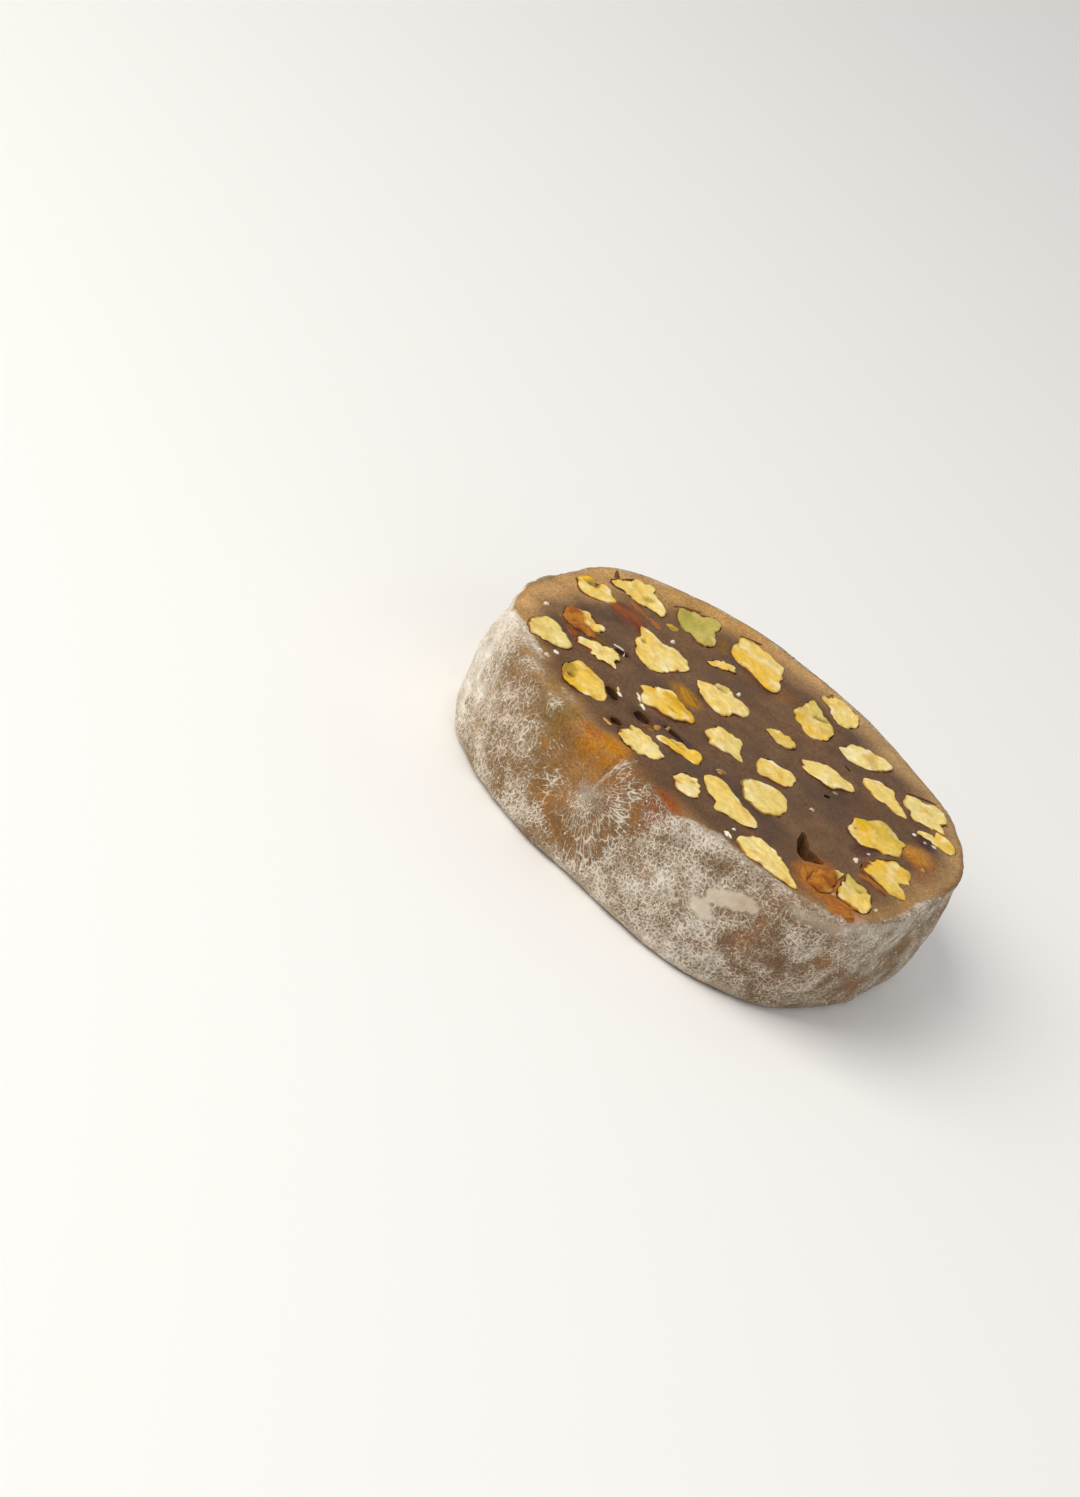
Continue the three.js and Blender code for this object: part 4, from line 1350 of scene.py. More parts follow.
@dataclass
class Wall:
    """The standing wall of the slice, measured from the CAD solid.

    Attributes:
        thickness: From one cut face to the other, mm.
        base_round: Radius of the lower edge, mm, as in the CAD solid.
        rim_crisp: Radius of the upper edge, mm.
        rim_soft: Radius where the upper edge sagged, mm.
        soft_towards: Where that is, compass degrees.
        soft_spread: How wide the sagged stretch is, degrees.
        far: How far from the middle it is measured from, mm.
        facet: How far apart its facets are smoothed together, degrees.
        angles: The compass angles that it is measured at.
        heights: The heights that it is measured at, mm.
        table: How far it is from the middle, at each angle and height.
    """

    thickness: float
    base_round: float = 2.2
    rim_crisp: float = 0.6
    rim_soft: float = 2.6
    soft_towards: float = -128.0
    soft_spread: float = 34.0
    far: float = 100.0
    facet: float = 2.4
    angles: np.ndarray = field(default_factory=lambda: np.arange(-180.0, 180.0, 1.0))
    heights: np.ndarray = field(init=False)
    table: np.ndarray = field(init=False)

    def measure(self, node: bpy.types.Object) -> None:
        """Finds how far the wall stands from the middle, all the way round and up, and rounds its facets.

        Args:
            node: The CAD node of the jelly.
        """
        shape = bmesh.new()
        shape.from_mesh(node.data)
        bmesh.ops.remove_doubles(shape, verts=shape.verts, dist=1e-6)
        tree = BVHTree.FromBMesh(shape)
        shape.free()
        self.heights = np.linspace(self.base_round + 0.2, self.thickness - self.rim_soft - 0.8, 12)
        table = np.zeros((len(self.angles), len(self.heights)))
        for i, angle in enumerate(np.radians(self.angles)):
            out = Vector((math.cos(angle), math.sin(angle), 0))
            for j, height in enumerate(self.heights):
                start = (out * self.far + Vector((0, 0, height))) * MM
                table[i, j] = self.far - tree.ray_cast(start, -out)[3] / MM
        away = np.arange(-6, 7)
        weights = np.exp(-((away / self.facet) ** 2))
        self.table = sum(w * np.roll(table, int(k), 0) for k, w in zip(away, weights)) / weights.sum()

    def reach(self, angle: np.ndarray, height: np.ndarray | float) -> np.ndarray:
        """Says how far the wall is from the middle.

        Args:
            angle: Compass angles.
            height: Heights over the lower cut face, mm.

        Returns:
            The distance at each of them, mm.
        """
        column = (np.asarray(angle) - self.angles[0]) % 360
        left = np.floor(column).astype(int) % len(self.angles)
        right = (left + 1) % len(self.angles)
        across = column - np.floor(column)
        row = (np.asarray(height) - self.heights[0]) / (self.heights[1] - self.heights[0])
        low = np.clip(np.floor(row).astype(int), 0, len(self.heights) - 2)
        up = np.clip(row - low, -0.6, 1.6)  # it runs on a little past the rows
        below = self.table[left, low] * (1 - across) + self.table[right, low] * across
        above = self.table[left, low + 1] * (1 - across) + self.table[right, low + 1] * across
        return below * (1 - up) + above * up

    def rim(self, angle: np.ndarray) -> np.ndarray:
        """Returns the radius of the upper edge towards each angle, mm."""
        away = turn_between(angle, self.soft_towards) / self.soft_spread
        return self.rim_crisp + (self.rim_soft - self.rim_crisp) * np.exp(-(away**2))


@dataclass
class JellySlice:
    """The jelly of the slice: two cut faces and the dusted wall, with a socket for each kernel.

    Attributes:
        node: Name of the CAD node that it replaces.
        wall: The measured wall.
        across: Squares across a cut face.
        arc_rows: Rows round each edge.
        wall_rows: Rows up the standing wall.
        socket_gap: Width of the gap round a kernel, mm.
        slump: How far the face sinks between kernels, mm.
        fold: Edges that fold by more than this stay sharp, degrees.
        face_band: What is this near to a cut face's level counts as part of it, mm.
        wall_band: What is this near to the wall counts as part of it, mm.
    """

    node: str
    wall: Wall
    across: int = 136
    arc_rows: int = 6
    wall_rows: int = 34
    socket_gap: float = 0.06
    slump: float = 0.16
    fold: float = 38.0
    face_band: float = 0.62
    wall_band: float = 1.2

    FACE = "#674a30"
    CLOUDS = ((9.0, 71, "#574030", 0.8), (12.0, 73, "#7d5c3a", 0.35))  # width in mm, seed, colour and share
    AMBER = "#a3621a"
    # Painted shade on the walls of the kernels' sockets, dark brown.
    SOCKET_SHADE = "#50341a"
    # Painted shade inside the small holes in the cut face, near black.
    HOLLOW_SHADE = "#38220e"

    def build(self, outlines: Sequence[CutOutline], material: bpy.types.Material) -> bpy.types.Object:
        """Makes the jelly.

        Args:
            outlines: The kernels that sit in it.
            material: Its finish.

        Returns:
            The finished piece, tied to the frame.
        """
        points, normals, faces = self._skin()
        points = points + normals * self._relief(points, normals)[:, None]
        points[:, 2] = np.maximum(points[:, 2], 0.0)
        piece = mesh_object("jelly_slice", points, faces)
        sockets = [o.socket(52 if o.side is Side.UPPER else 40, self.socket_gap) for o in outlines]
        self._cut(piece, sockets)
        self._cut(piece, [self._hollow_form(h) for h in HOLLOWS])
        self._cut(piece, [self._air_pocket()])
        self._mark_sharp(piece.data)
        self._paint(piece.data)
        piece.data.materials.clear()
        piece.data.materials.append(material)
        return finished(piece, "jelly", self.node)

    def _disc(self) -> tuple[np.ndarray, np.ndarray]:
        """Bends a square net so that its border is a circle.

        Returns:
            The compass angle of each corner, and how far out it is as a share of the reach.
        """
        line = np.linspace(-1, 1, self.across + 1)
        b, a = np.meshgrid(line, line, indexing="ij")
        wide = np.abs(a) > np.abs(b)
        share = np.where(wide, np.abs(a), np.abs(b))
        safe_a, safe_b = np.where(a == 0, 1e-9, a), np.where(b == 0, 1e-9, b)
        side_turn = 45 * b / safe_a + np.where(a < 0, 180, 0)
        end_turn = 90 - 45 * a / safe_b + np.where(b < 0, 180, 0)
        return np.where(wide, side_turn, end_turn).ravel(), share.ravel()

    def _skin(self) -> tuple[np.ndarray, np.ndarray, list[tuple[int, ...]]]:
        """Lays a net of squares over both faces and the wall.

        Returns:
            Points in mm, the outward direction at each, and the faces.
        """
        n = self.across
        angle, share = self._disc()
        number = np.arange((n + 1) ** 2).reshape(n + 1, n + 1)
        border = np.concatenate([number[:-1, n], number[n, :0:-1], number[:0:-1, 0], number[0, :-1]])
        turn = np.radians(angle)
        out = np.stack([np.cos(turn), np.sin(turn), np.zeros(len(turn))], 1)
        up = np.array([0.0, 0.0, 1.0])
        top_reach = self.wall.reach(angle, self.wall.thickness) - self.wall.rim(angle)
        base_reach = self.wall.reach(angle, 0.0) - self.wall.base_round
        top = out * (share * top_reach)[:, None] + up * self.wall.thickness
        base = out * (share * base_reach)[:, None]
        points, normals = [top, base], [np.tile(up, (len(top), 1)), np.tile(-up, (len(base), 1))]

        ring_angle = angle[border]
        ring_out = out[border]
        rim = self.wall.rim(ring_angle)
        bend = np.arange(1, self.arc_rows) / self.arc_rows * math.pi / 2
        rows = [("base", t) for t in bend] + [("wall", t) for t in np.linspace(0, 1, self.wall_rows)]
        rows += [("rim", t) for t in bend]
        low, high = np.full(len(rim), self.wall.base_round), self.wall.thickness - rim
        for zone, t in rows:
            if zone == "base":
                height = low * (1 - math.cos(t))
                inset, tilt = low * (1 - math.sin(t)), t - math.pi / 2
            elif zone == "wall":
                height, inset, tilt = low + (high - low) * t, 0, 0.0
            else:
                height, inset, tilt = high + rim * math.sin(t), rim * (1 - math.cos(t)), t
            reach = self.wall.reach(ring_angle, height) - inset
            points.append(ring_out * reach[:, None] + up * height[:, None])
            normals.append(ring_out * math.cos(tilt) + up * math.sin(tilt))

        size, count = (n + 1) ** 2, len(border)
        faces = []
        for i, j in np.ndindex(n, n):
            p, q, r, s = number[i, j], number[i, j + 1], number[i + 1, j + 1], number[i + 1, j]
            faces += [(p, q, r, s), (s + size, r + size, q + size, p + size)]
        between = [2 * size + k * count + np.arange(count) for k in range(len(rows))]
        rings = [border + size, *between, border]
        for lower, upper in zip(rings[:-1], rings[1:]):
            faces += zip(lower, np.roll(lower, -1), np.roll(upper, -1), upper)
        return np.concatenate(points), np.concatenate(normals), faces

    def _relief(self, points: np.ndarray, normals: np.ndarray) -> np.ndarray:
        """Gives the jelly its unevenness.

        Args:
            points: The smooth skin, mm.
            normals: The outward directions.

        Returns:
            How far each point moves outwards, mm.
        """
        face, base = (np.clip(side * normals[:, 2], 0, 1) ** 2 for side in (1, -1))
        local = points - np.array([*CUT_MIDDLE, 0])
        angle = compass(points[:, 0], points[:, 1])
        knife = ripple(local @ np.array([[0.8, 0.6, 0], [-0.6, 0.8, 0], [0, 0, 1]]), (30, 1.6, 30), 5)
        cut = -self.slump + self.slump * ripple(points, 7.0, 1) + 0.05 * knife
        cut += sum(g.lift * (1 - eased(g.away(local), 0.3, 1.1)) for g in GLOWS_AND_SHADES)
        skin = sum(high * ripple(points, size, seed) for high, size, seed in WALL_SWELLS)
        along, up = self._unrolled(points)
        skin += 0.22 * np.exp(-((along / 0.6) ** 2)) * eased(up, 0.0, 2.5) * (1 - eased(up, 6.0, 10.0))
        ledge = 0.35 * np.exp(-(((up - 3.6) / 1.6) ** 2)) - 0.3 * np.exp(-(((up + 1.0) / 2.6) ** 2))
        skin += LEDGE.share(angle) * ledge
        skin += 0.3 * PLEATS.share(angle) * ripple(points, (2.6, 2.6, 16.0), 8)
        under = -0.12 + 0.12 * ripple(points, 8.0, 6)
        return cut * face + skin * (1 - face - base) + np.minimum(under, 0) * base

    def _hollow_form(self, hollow: Hollow) -> Form:
        """Shapes one small hole as a bowl that runs on past the face.

        Args:
            hollow: The hole.

        Returns:
            Points in mm and faces that point outwards.
        """
        level, over = self.wall.thickness - self.slump, 1.0
        uneven = 1 + 0.22 * circle_noise(20, hollow.at[0], 0.8, 51, 2)
        bowl = [(s, -c * hollow.depth) for c, s in map(unit, (25, 50, 72))]
        profile = [*bowl, (1.0, 0.0), (1.05, over)]
        rings = [hollow.ring(uneven * share) + (0.0, 0.0, level + z) for share, z in profile]
        ends = [np.array([*(CUT_MIDDLE + hollow.at), level + z]) for z in (-hollow.depth, over)]
        return lathe(rings, *ends, False)

    def _air_pocket(self) -> Form:
        """Shapes the air pocket, a bent bowl with a pointed end."""
        turn = np.radians(all_round(len(POCKET_REACH)))
        rim = np.stack([np.cos(turn), np.sin(turn)], 1) * np.array(POCKET_REACH)[:, None]
        middle = CUT_MIDDLE + POCKET_AT
        return CutOutline.through(rim, middle, self.wall.thickness, POCKET_DEPTH, Side.UPPER).socket(60, 0.0)

    def _cut(self, piece: bpy.types.Object, forms: Sequence[Form]) -> None:
        """Cuts closed forms that don't touch each other out of the piece.

        Args:
            piece: The piece that is cut.
            forms: Points and faces of each form.
        """
        cutter = mesh_object("cutter", *joined(forms))
        tidy = bmesh.new()
        tidy.from_mesh(cutter.data)
        bmesh.ops.recalc_face_normals(tidy, faces=tidy.faces)
        bmesh.ops.triangulate(tidy, faces=tidy.faces)
        tidy.to_mesh(cutter.data)
        tidy.free()
        modifier = piece.modifiers.new("cut", "BOOLEAN")
        modifier.operation = "DIFFERENCE"
        modifier.solver = "MANIFOLD"
        modifier.object = cutter
        result = with_modifiers(piece)
        piece.modifiers.clear()
        piece.data = result
        bpy.data.objects.remove(cutter)

    def _mark_sharp(self, mesh: bpy.types.Mesh) -> None:
        """Shades the mesh smooth but for its sharp folds.

        Args:
            mesh: The cut mesh.
        """
        shape = bmesh.new()
        shape.from_mesh(mesh)
        for edge in shape.edges:
            edge.smooth = edge.calc_face_angle(0) < math.radians(self.fold)
        for face in shape.faces:
            face.smooth = True
        shape.to_mesh(mesh)
        shape.free()

    def _paint(self, mesh: bpy.types.Mesh) -> None:
        """Stores the attributes that the jelly's finish reads.

        Args:
            mesh: The cut mesh.
        """
        points = corners(mesh)
        angle, height = compass(points[:, 0], points[:, 1]), points[:, 2]
        edge_in = self.wall.reach(angle, height) - np.hypot(points[:, 0], points[:, 1])
        half = self.wall.thickness / 2
        on_face = np.abs(height - half) > half - self.face_band
        in_socket = ~on_face & (edge_in > self.wall_band)
        store(mesh, "tint", self._tint(points, angle, edge_in, in_socket))

        starch = self._starch(points, angle)
        line, fade = (at_compass(angle, table)[:, 0] for table in (DUST_LINE, DUST_FADE))
        down = (self.wall.thickness - height) - edge_in
        foot = (height - edge_in + 2.0) / 0.8  # the lower face is cut too, and bare
        rise = np.minimum((down - line) / fade, foot)
        store(mesh, "starch", np.where(in_socket, 0.0, starch))
        store(mesh, "rise", np.where(in_socket, -9.0, rise))
        store(mesh, "dust", np.where(in_socket, 0.0, starch * eased(rise, 0.0, 2.0)))
        store(mesh, "film", np.where(in_socket, 0.0, self._film(points, angle, edge_in)))
        self._store_web(mesh, points, angle)

    def _tint(
        self, points: np.ndarray, angle: np.ndarray, edge_in: np.ndarray, in_socket: np.ndarray
    ) -> np.ndarray:
        """Paints the jelly: its face and wall, what shines through it, dark patches of painted shade over its
        hollows, and painted shade in its sockets and hollows.

        Args:
            points: The mesh's points, mm.
            angle: Their compass angles.
            edge_in: How far in from the wall they are, mm.
            in_socket: Whether they lie in a socket.

        Returns:
            A linear colour for each point.
        """
        local = points - np.array([*CUT_MIDDLE, 0])
        below = self.wall.thickness - points[:, 2]
        tint = self._face_tint(local, angle, edge_in)
        wall_share = eased(edge_in, 3.2, 0.4) * eased(below, 0.0, 1.8)
        wall_share = np.maximum(wall_share, eased(edge_in, 1.2, 0.3))
        bare = at_compass(angle, [(a, *linear(colour)) for a, colour in WALL_TINTS])
        bare = blend(bare, self.AMBER, 0.5 * eased(ripple(points, 6.0, 61), 0.1, 0.7))
        tint = tint * (1 - wall_share)[:, None] + bare * wall_share[:, None]
        deep = np.exp(-((below / 7.0) ** 2))
        uneven = 0.15 * ripple(points, 2.0, 63)
        # Sunk kernels show through the jelly; the dark patches over the holes are painted shade.
        for glow_or_shade in GLOWS_AND_SHADES:
            share = 1 - eased(glow_or_shade.away(local) + uneven, 1 - glow_or_shade.soft, 1 + glow_or_shade.soft)
            tint = blend(tint, glow_or_shade.colour, glow_or_shade.strength * share * deep)
        # Painted shade on the socket walls, which darkens the gap round each kernel.
        tint = blend(tint, self.SOCKET_SHADE, 0.8 * in_socket)
        # Painted shade in the small holes, below the face.
        upper = (below < self.wall.thickness / 2) & (edge_in > self.wall_band)
        sunk = upper & (below > 2 * self.slump)
        for hollow in HOLLOWS:
            tint = blend(tint, self.HOLLOW_SHADE, 0.9 * (hollow.away(local) < 1.3) * sunk)
        return tint

    def _store_web(self, mesh: bpy.types.Mesh, points: np.ndarray, angle: np.ndarray) -> None:
        """Stores where the starch web is drawn: along and up the wall, and round and out of the star.

        Args:
            mesh: The cut mesh.
            points: Its points, mm.
            angle: Their compass angles.
        """
        along, up = self._unrolled(points)
        away = np.hypot(along, up)
        none = np.zeros(len(points))
        stretch = 1 - 0.4 * NET_TALL.share(angle)
        store(mesh, "net", np.stack([along * NET_TIGHTER, up * stretch * NET_TIGHTER, none], 1))
        rays, rings = np.arctan2(-along, -up) / STAR_RAY, np.log(np.maximum(away, STAR_CORE)) / STAR_RING
        store(mesh, "star", np.stack([rays, rings, none], 1) * JellyFinish.webs[0][0])
        store(mesh, "star_share", 1 - eased(away + 3.0 * ripple(points, 5.0, 91), *STAR_ENDS))

    def _unrolled(self, points: np.ndarray) -> tuple[np.ndarray, np.ndarray]:
        """Lays the skin of the wall flat.

        Args:
            points: Places on it, mm.

        Returns:
            How far each is along and up from the middle of the star, mm.
        """
        angle = compass(points[:, 0], points[:, 1])
        height = points[:, 2]
        inwards = self.wall.reach(angle, height) - np.hypot(points[:, 0], points[:, 1])
        upper = height > self.wall.thickness / 2
        flat = height + np.where(upper, inwards, -inwards)
        return np.radians(turn_between(angle, STAR[0])) * MEAN_REACH, flat - STAR[1]

    def _face_tint(self, local: np.ndarray, angle: np.ndarray, edge_in: np.ndarray) -> np.ndarray:
        """Paints the cut face: grey brown in the middle, lighter and warmer where the edge lets light in.

        Args:
            local: Places counted from CUT_MIDDLE, mm.
            angle: Their compass angles.
            edge_in: How far in from the wall they are, mm.

        Returns:
            A linear colour for each place.
        """
        tint = filled(self.FACE, len(local))
        for size, seed, colour, most in self.CLOUDS:
            tint = blend(tint, colour, most * eased(ripple(local, size, seed), 0.0, 0.7))
        light = at_compass(angle, [(a, width, *linear(colour)) for a, width, colour in EDGE_LIGHT])
        width = light[:, 0]
        share = 1 - eased(edge_in, 0.2 * width, 1.25 * width * (1 + 0.3 * ripple(local, 6.0, 75)))
        return tint * (1 - share)[:, None] + light[:, 1:] * share[:, None]

    def _starch(self, points: np.ndarray, angle: np.ndarray) -> np.ndarray:
        """Says what share of the wall the starch hides, with the white line up from the star.

        Args:
            points: The mesh's points, mm.
            angle: Their compass angles.

        Returns:
            A share from 0 to 1 for each point.
        """
        columns = at_compass(angle, DUST)
        place = np.interp(-points[:, 2], -np.array(DUST_HEIGHTS), np.arange(len(DUST_HEIGHTS)))
        low = np.minimum(place.astype(int), len(DUST_HEIGHTS) - 2)
        rows = np.arange(len(points))
        share = place - low
        hidden = columns[rows, low] * (1 - share) + columns[rows, low + 1] * share
        along, up = self._unrolled(points)
        ridge = np.exp(-(((along - 0.2 * up) / 0.4) ** 2)) * eased(up, -0.5, 1.5) * (1 - eased(up, 8.0, 12.5))
        star = 0.16 * np.exp(-((np.hypot(along, up) / 7.0) ** 2)) * (1 - 0.8 * eased(up, -0.5, 5.0))
        return np.clip(hidden + 0.1 * ripple(points, (4.0, 4.0, 5.0), 81) + 0.4 * ridge + star, 0, 1)

    def _film(self, points: np.ndarray, angle: np.ndarray, edge_in: np.ndarray) -> np.ndarray:
        """Says where starch paste dried smooth: a leaf, a drop, and lines along rim and foot.

        Args:
            points: The mesh's points, mm.
            angle: Their compass angles.
            edge_in: How far in from the wall they are, mm.

        Returns:
            A share from 0 to 1 for each point.
        """
        height = points[:, 2]
        along = np.radians(turn_between(angle, FILM_TOWARDS)) * MEAN_REACH
        flat = np.stack([along, height], 1)
        uneven = 0.22 * ripple(points, 1.6, 93, 3)
        leaf = 1 - eased(LEAF.away(flat) + uneven, 0.85, 1.02)
        drop = 1 - eased(DROP.away(flat) + uneven, 0.8, 1.1)
        foot = 1 - eased(np.abs(height - 1.2 - 0.5 * ripple(points, 5.0, 95)), 0.3, 1.3)
        foot *= 0.5 * FOOT_PASTE.share(angle) * (1 - eased(edge_in, 1.5, 3.5))
        below = self.wall.thickness - height - 0.5 * ripple(points, 3.0, 97)
        flange = 0.55 * eased(below, 0.2, 0.9) * (1 - eased(below, 1.8, 3.2)) * RIM_PASTE.share(angle)
        return np.maximum(foot, np.maximum(0.85 * np.maximum(leaf, drop), flange) * (edge_in < 2.0))


# ---------------------------------------------------------------- flakes and dust


@dataclass
class FaceFlakes:
    """All the flakes on the upper cut face, one closed lens each, laid on the jelly.

    Attributes:
        level: Height of the upper cut face, mm.
        steps: Points round each flake.
        seed: Picks their outlines.
        shares: The rings of a flake, as shares of its outline.
        sunk: How far a flake goes into the jelly, mm.
        drape: How far it hangs down into sockets and holes, mm.
    """

    level: float
    steps: int = 36
    seed: int = 300
    shares: tuple[float, ...] = (1.0, 0.9, 0.75, 0.55, 0.3)
    sunk: float = 0.25
    drape: float = 0.45

    def build(self, jelly: bpy.types.Object, material: bpy.types.Material) -> bpy.types.Object:
        """Lays the flakes.

        Args:
            jelly: The piece that they lie on.
            material: Their finish.

        Returns:
            The finished piece, tied to the frame.
        """
        polygons = [tuple(p.vertices) for p in jelly.data.polygons]
        tree = BVHTree.FromPolygons(corners(jelly.data).tolist(), polygons)
        forms, tints, grains = [], [], []
        for number, flake in enumerate(FLAKES):
            form = self._lens(tree, flake, number)
            c, s = unit(flake.turn if flake.size[0] >= flake.size[1] else flake.turn + 90)
            grain = form[0] @ np.array([[c, -s, 0], [s, c, 0], [0, 0, 1]]) + 3.1 * number
            streaks = eased(ripple(grain, (2.4, 0.5, 2.0), self.seed + number), -0.25, 0.45)
            forms.append(form)
            grains.append(grain)
            tints.append(blend(filled(flake.colour, len(grain)), flake.streak, streaks))
        piece = mesh_object("cut_face_flakes", *joined(forms))
        store(piece.data, "tint", np.concatenate(tints))
        store(piece.data, "grain", np.concatenate(grains))
        piece.data.materials.append(material)
        return finished(piece, "kernel_skin")

    def _lens(self, tree: BVHTree, flake: Flake, number: int) -> Form:
        """Shapes one flake.

        Args:
            tree: The jelly's surface.
            flake: The flake.
            number: Picks its torn outline.

        Returns:
            Its points and faces.
        """
        torn = circle_noise(self.steps, 0.7 * number, 0.9, self.seed + number, 3) - 0.2
        rings = [flake.ring((1 + flake.ragged * torn) * share) for share in self.shares]
        for share, ring in zip(self.shares, rings):
            ring[:, 2] = self._surface(tree, ring) + flake.proud * (1 - share**2) - 0.02 * (share == 1.0)
            ring[:, 2] += 0.35 * flake.proud * ripple(ring, 0.7, self.seed + number) * (share < 1)
        low = rings[0] - (0, 0, self.sunk)
        middle = CUT_MIDDLE + flake.at
        crown = np.array([*middle, rings[-1][:, 2].mean() + 0.02])
        return lathe([low, *rings], np.array([*middle, low[:, 2].min()]), crown, False)

    def _surface(self, tree: BVHTree, ring: np.ndarray) -> np.ndarray:
        """Feels for the jelly from above.

        Args:
            tree: Its surface.
            ring: Where to feel, mm.

        Returns:
            The height under each point, mm, which drapes over sockets and holes.
        """
        heights = []
        for x, y, _ in ring:
            hit = tree.ray_cast(Vector((x, y, self.level + 20)), Vector((0, 0, -1)))[0]
            heights.append(max(hit.z if hit else 0.0, self.level - self.drape))
        return np.array(heights)


@dataclass(frozen=True)
class StarchDust:
    """Loose clumps of starch on the wall and a few specks on the cut face, scattered by Geometry Nodes.

    Attributes:
        density: Clumps on a square metre where the starch is thickest.
        size: Smallest and largest clump, mm.
        seed: Picks where they lie.
    """

    density: float = 0.9e6
    size: tuple[float, float] = (0.12, 0.42)
    seed: int = 4

    def build(self, jelly: bpy.types.Object, material: bpy.types.Material) -> bpy.types.Object:
        """Scatters the clumps over the jelly.

        Args:
            jelly: The piece that carries them, with its attribute dust.
            material: Their finish.

        Returns:
            The finished piece, tied to the frame.
        """
        host = mesh_object("starch_host", np.zeros((3, 3)), [])
        tree = self._tree()
        modifier = host.modifiers.new("scatter", "NODES")
        modifier.node_group = tree
        values = {
            "Jelly": jelly,
            "Density": self.density,
            "Smallest": self.size[0] * MM,
            "Largest": self.size[1] * MM,
            "Seed": self.seed,
            "Finish": material,
        }
        for item in tree.interface.items_tree:
            if item.in_out == "INPUT" and item.name in values:
                modifier[item.identifier] = values[item.name]
        bpy.context.view_layer.update()
        mesh = with_modifiers(host)
        bpy.data.objects.remove(host)
        mesh.name = "starch_dust"
        places = corners(mesh)
        places[:, 2] = np.maximum(places[:, 2], FLOOR_GAP)
        mesh.vertices.foreach_set("co", (places * MM).astype(np.float32).ravel())
        return finished(placed("starch_dust", mesh), "jelly")

    def _tree(self) -> NodeTree:
        """Builds the scatter tree with its named inputs."""
        tree = bpy.data.node_groups.new("starch_scatter", "GeometryNodeTree")
        face = tree.interface
        for name, kind in (
            ("Jelly", "NodeSocketObject"),
            ("Density", "NodeSocketFloat"),
            ("Smallest", "NodeSocketFloat"),
            ("Largest", "NodeSocketFloat"),
            ("Seed", "NodeSocketInt"),
            ("Finish", "NodeSocketMaterial"),
        ):
            face.new_socket(name, in_out="INPUT", socket_type=kind)
        face.new_socket("Geometry", in_out="OUTPUT", socket_type="NodeSocketGeometry")
        inputs = add_node(tree, "NodeGroupInput").outputs
        wall = {"Object": inputs["Jelly"]}
        jelly = add_node(tree, "GeometryNodeObjectInfo", wall, transform_space="ORIGINAL")
        starch = add_node(tree, "GeometryNodeInputNamedAttribute", {"Name": "dust"}, data_type="FLOAT")
        thick = add_node(tree, "Math", (starch.outputs["Attribute"], 1.5), operation="POWER")
        density = add_node(tree, "Math", (thick, inputs["Density"]), operation="MULTIPLY")
        points = add_node(
            tree,
            "GeometryNodeDistributePointsOnFaces",
            {"Mesh": jelly.outputs["Geometry"], "Density": density, "Seed": inputs["Seed"]},
            distribute_method="RANDOM",
        )
        turned = add_node(
            tree,
            "FunctionNodeRandomValue",
            {"Min": (0, 0, 0), "Max": (6.28, 6.28, 6.28), "Seed": inputs["Seed"]},
            data_type="FLOAT_VECTOR",
        )
        chance = add_node(
            tree, "FunctionNodeRandomValue", {2: 0.0, 3: 1.0, "Seed": inputs["Seed"]}, data_type="FLOAT"
        )
        small = add_node(tree, "Math", (chance.outputs[1], 3.0), operation="POWER")
        size = add_node(tree, "MapRange", (small, 0.0, 1.0, inputs["Smallest"], inputs["Largest"]))
        clump = add_node(tree, "GeometryNodeMeshIcoSphere", {"Radius": 0.5, "Subdivisions": 1})
        scattered = add_node(
            tree,
            "GeometryNodeInstanceOnPoints",
            {"Points": points, "Instance": clump, "Rotation": turned.outputs[0], "Scale": size},
        )
        real = add_node(tree, "GeometryNodeRealizeInstances", {"Geometry": scattered})
        dressed = add_node(tree, "GeometryNodeSetMaterial", {"Geometry": real, "Material": inputs["Finish"]})
        add_node(tree, "NodeGroupOutput", {"Geometry": dressed})
        return tree


# ---------------------------------------------------------------- studio


# The soft square lamps: name, place and width in metres, watts and colour.
LAMPS = (
    ("key", (-0.55, -0.25, 0.62), 0.7, 5.8, "#fffaf2"),
    ("fill", (0.5, -0.6, 0.5), 0.9, 1.5, "#f6f8ff"),
)
SKY_COLOUR = "#fbfbfb"
SKY_STRENGTH = 0.48
TABLE_WIDTH = 12000.0  # wide enough to fill the picture, mm


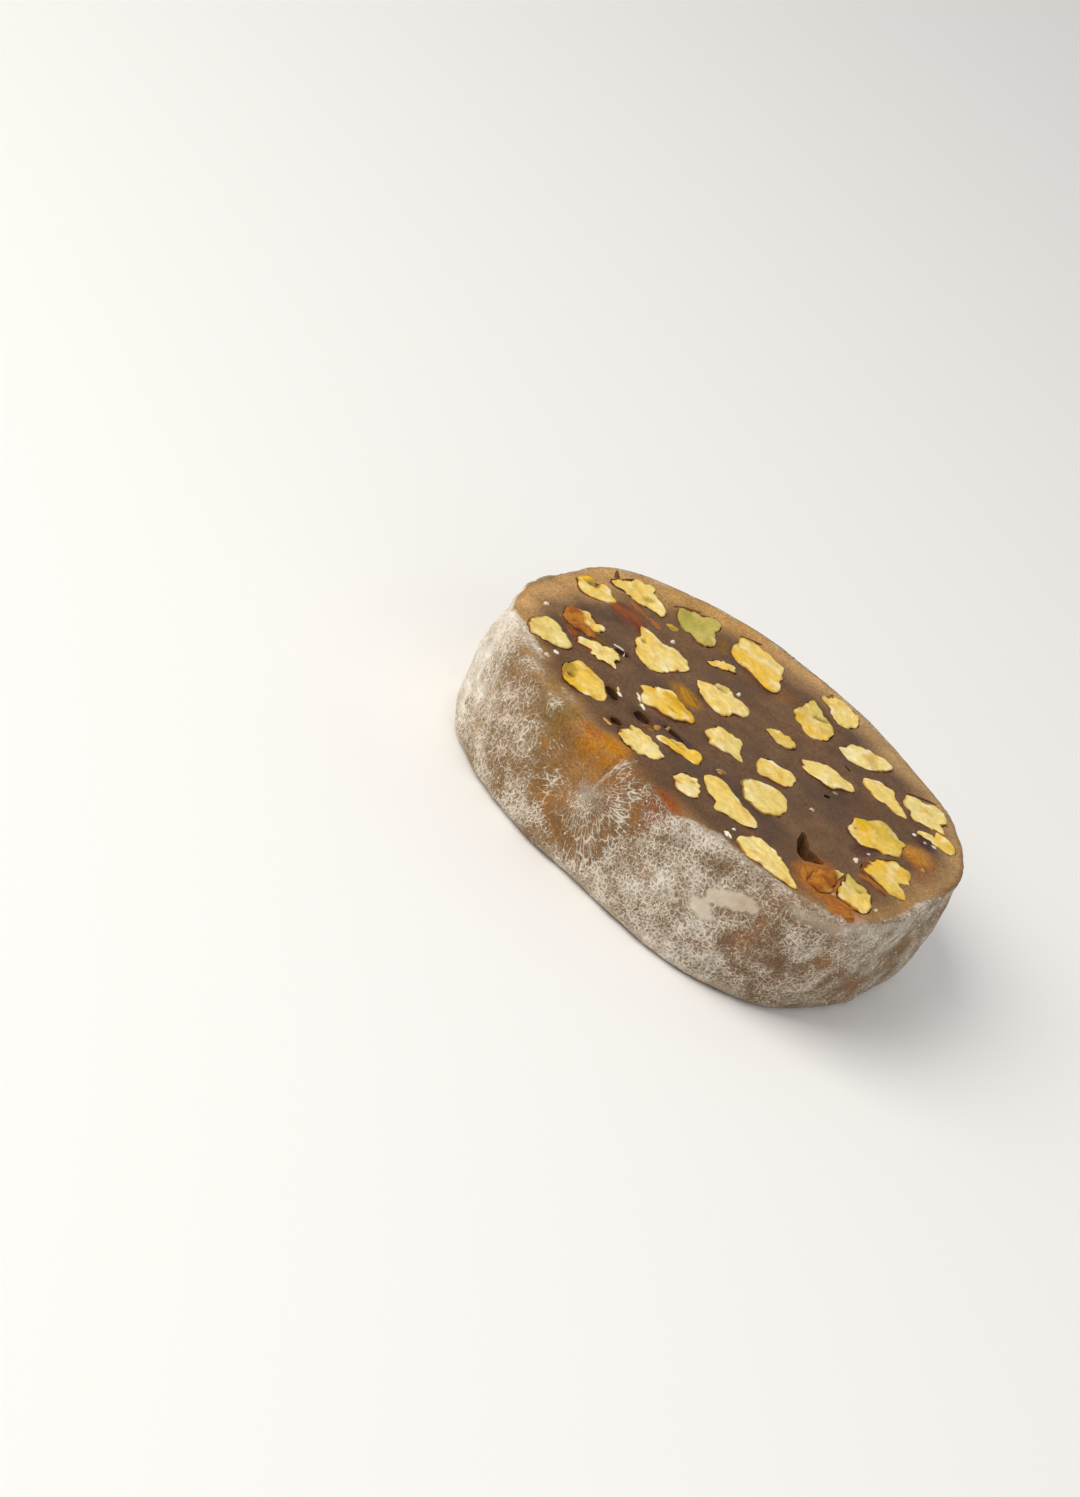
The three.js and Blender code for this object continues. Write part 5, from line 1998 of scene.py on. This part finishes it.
@dataclass(frozen=True)
class Studio:
    """A white table, a pale sky and soft lamps, with the camera where the photograph's was.

    Attributes:
        image: The photograph's size in pixels.
        cut_middle_px: The pixel where the middle of the cut face shows.
        px_per_mm: Pixels to a millimetre there.
        distance: From there to the camera, mm.
        elevation: How high the camera stands over the cut face, degrees.
        roll: How far the slice leans clockwise in the picture, degrees: it leaned on others.
        sensor: Width of the camera's sensor, mm.
    """

    image: tuple[int, int] = (1080, 1497)
    cut_middle_px: tuple[float, float] = (741.5, 732.0)
    px_per_mm: float = 6.49
    distance: float = 600.0
    elevation: float = 26.0
    roll: float = 33.0
    sensor: float = 36.0

    def build(self, thickness: float) -> None:
        """Sets up the table, the lamps, the sky and the camera.

        Args:
            thickness: Height of the upper cut face, mm.
        """
        self._table()
        self._camera(thickness)
        for name, place, size, power, colour in LAMPS:
            data = bpy.data.lights.new(name, "AREA")
            data.size, data.energy, data.color = size, power, linear(colour)[:3]
            lamp = placed(name, data)
            lamp.location = place
            lamp.rotation_euler = (-Vector(place)).to_track_quat("-Z", "Y").to_euler()
        world = bpy.data.worlds.new("studio_sky")
        world.use_nodes = True
        sky = world.node_tree.nodes["Background"].inputs
        sky["Color"].default_value, sky["Strength"].default_value = linear(SKY_COLOUR), SKY_STRENGTH
        bpy.context.scene.world = world
        bpy.context.scene.view_settings.view_transform = "Standard"

    def _table(self) -> None:
        """Lays the table top."""
        half = TABLE_WIDTH / 2
        square = np.array([(-half, -half, 0), (half, -half, 0), (half, half, 0), (-half, half, 0)])
        table = mesh_object("table_top", square, [(0, 1, 2, 3)])
        table.data.materials.append(TableFinish().material())

    def _camera(self, thickness: float) -> None:
        """Aims the camera so that the slice shows at the size, place and turn of the photograph.

        Args:
            thickness: Height of the upper cut face, mm.
        """
        flat, raised = unit(self.elevation)
        focal = self.px_per_mm * self.distance  # in pixels
        back = Vector((0, -flat, raised))
        side = Vector((1, 0, 0))
        over = back.cross(side)
        c, s = unit(self.roll)
        right, up = c * side + s * over, c * over - s * side
        across, down = (at - side / 2 for at, side in zip(self.cut_middle_px, self.image))
        seen = Vector((across / focal, -down / focal, -1))
        aim = Vector((0, 0, -1)).rotation_difference(seen.normalized()).to_matrix()
        axes = aim @ Matrix((right, up, back))
        data = bpy.data.cameras.new("camera")
        data.lens = focal * self.sensor / max(self.image)
        data.sensor_width = self.sensor
        data.clip_start, data.clip_end = 0.01, 50.0
        camera = placed("camera", data)
        target = Vector((*CUT_MIDDLE, thickness)) * MM
        place = target + back * self.distance * MM
        camera.matrix_world = Matrix.Translation(place) @ axes.transposed().to_4x4()
        bpy.context.scene.camera = camera


# ---------------------------------------------------------------- assembly


def read_kernels(nodes: Mapping[str, bpy.types.Object], slots: Mapping[str, str]) -> list[CutKernel]:
    """Finds the kernels in the frame.

    Args:
        nodes: The CAD nodes.
        slots: The material slot of each node.

    Returns:
        A cut kernel for each, in the order of their names.
    """
    tones = {"kernel_pale": 0.25, "kernel_yellow": 0.65, "kernel_green": 0.2, "kernel_skin": 0.5}
    kernels = []
    for seed, name in enumerate(sorted(n for n in nodes if n.startswith("kernel"))):
        side = Side.UPPER if "upper" in name else Side.LOWER
        marks = Marks(tones[slots[name]] + 0.12 * math.sin(seed * 2.4), 0.25, 47.0 * seed % 360)
        if side is Side.UPPER:
            marks = UPPER_MARKS[int(name[-2:])]
        kernels.append(CutKernel(name, slots[name], CutOutline.of_node(nodes[name], side), marks, seed))
    return kernels


def main() -> None:
    """Builds the slice over its frame, piece by piece."""
    logging.basicConfig(level=logging.INFO, format="%(name)s: %(message)s")
    nodes = frame["nodes"]
    slots = {part["node"]: part["material_slot"] for part in frame["record"]["subparts"]}
    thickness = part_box("jelly")[1].z / MM

    kernels = read_kernels(nodes, slots)
    wall = Wall(thickness)
    wall.measure(nodes["jelly"])
    jelly = JellySlice("jelly", wall).build([k.outline for k in kernels], JellyFinish().material())
    flesh = KernelFinish().material()
    for kernel in kernels:
        kernel.build(flesh)
    FaceFlakes(thickness).build(jelly, flesh)
    StarchDust().build(jelly, StarchFinish().material())
    Studio().build(thickness)


if __name__ == "__main__":
    main()
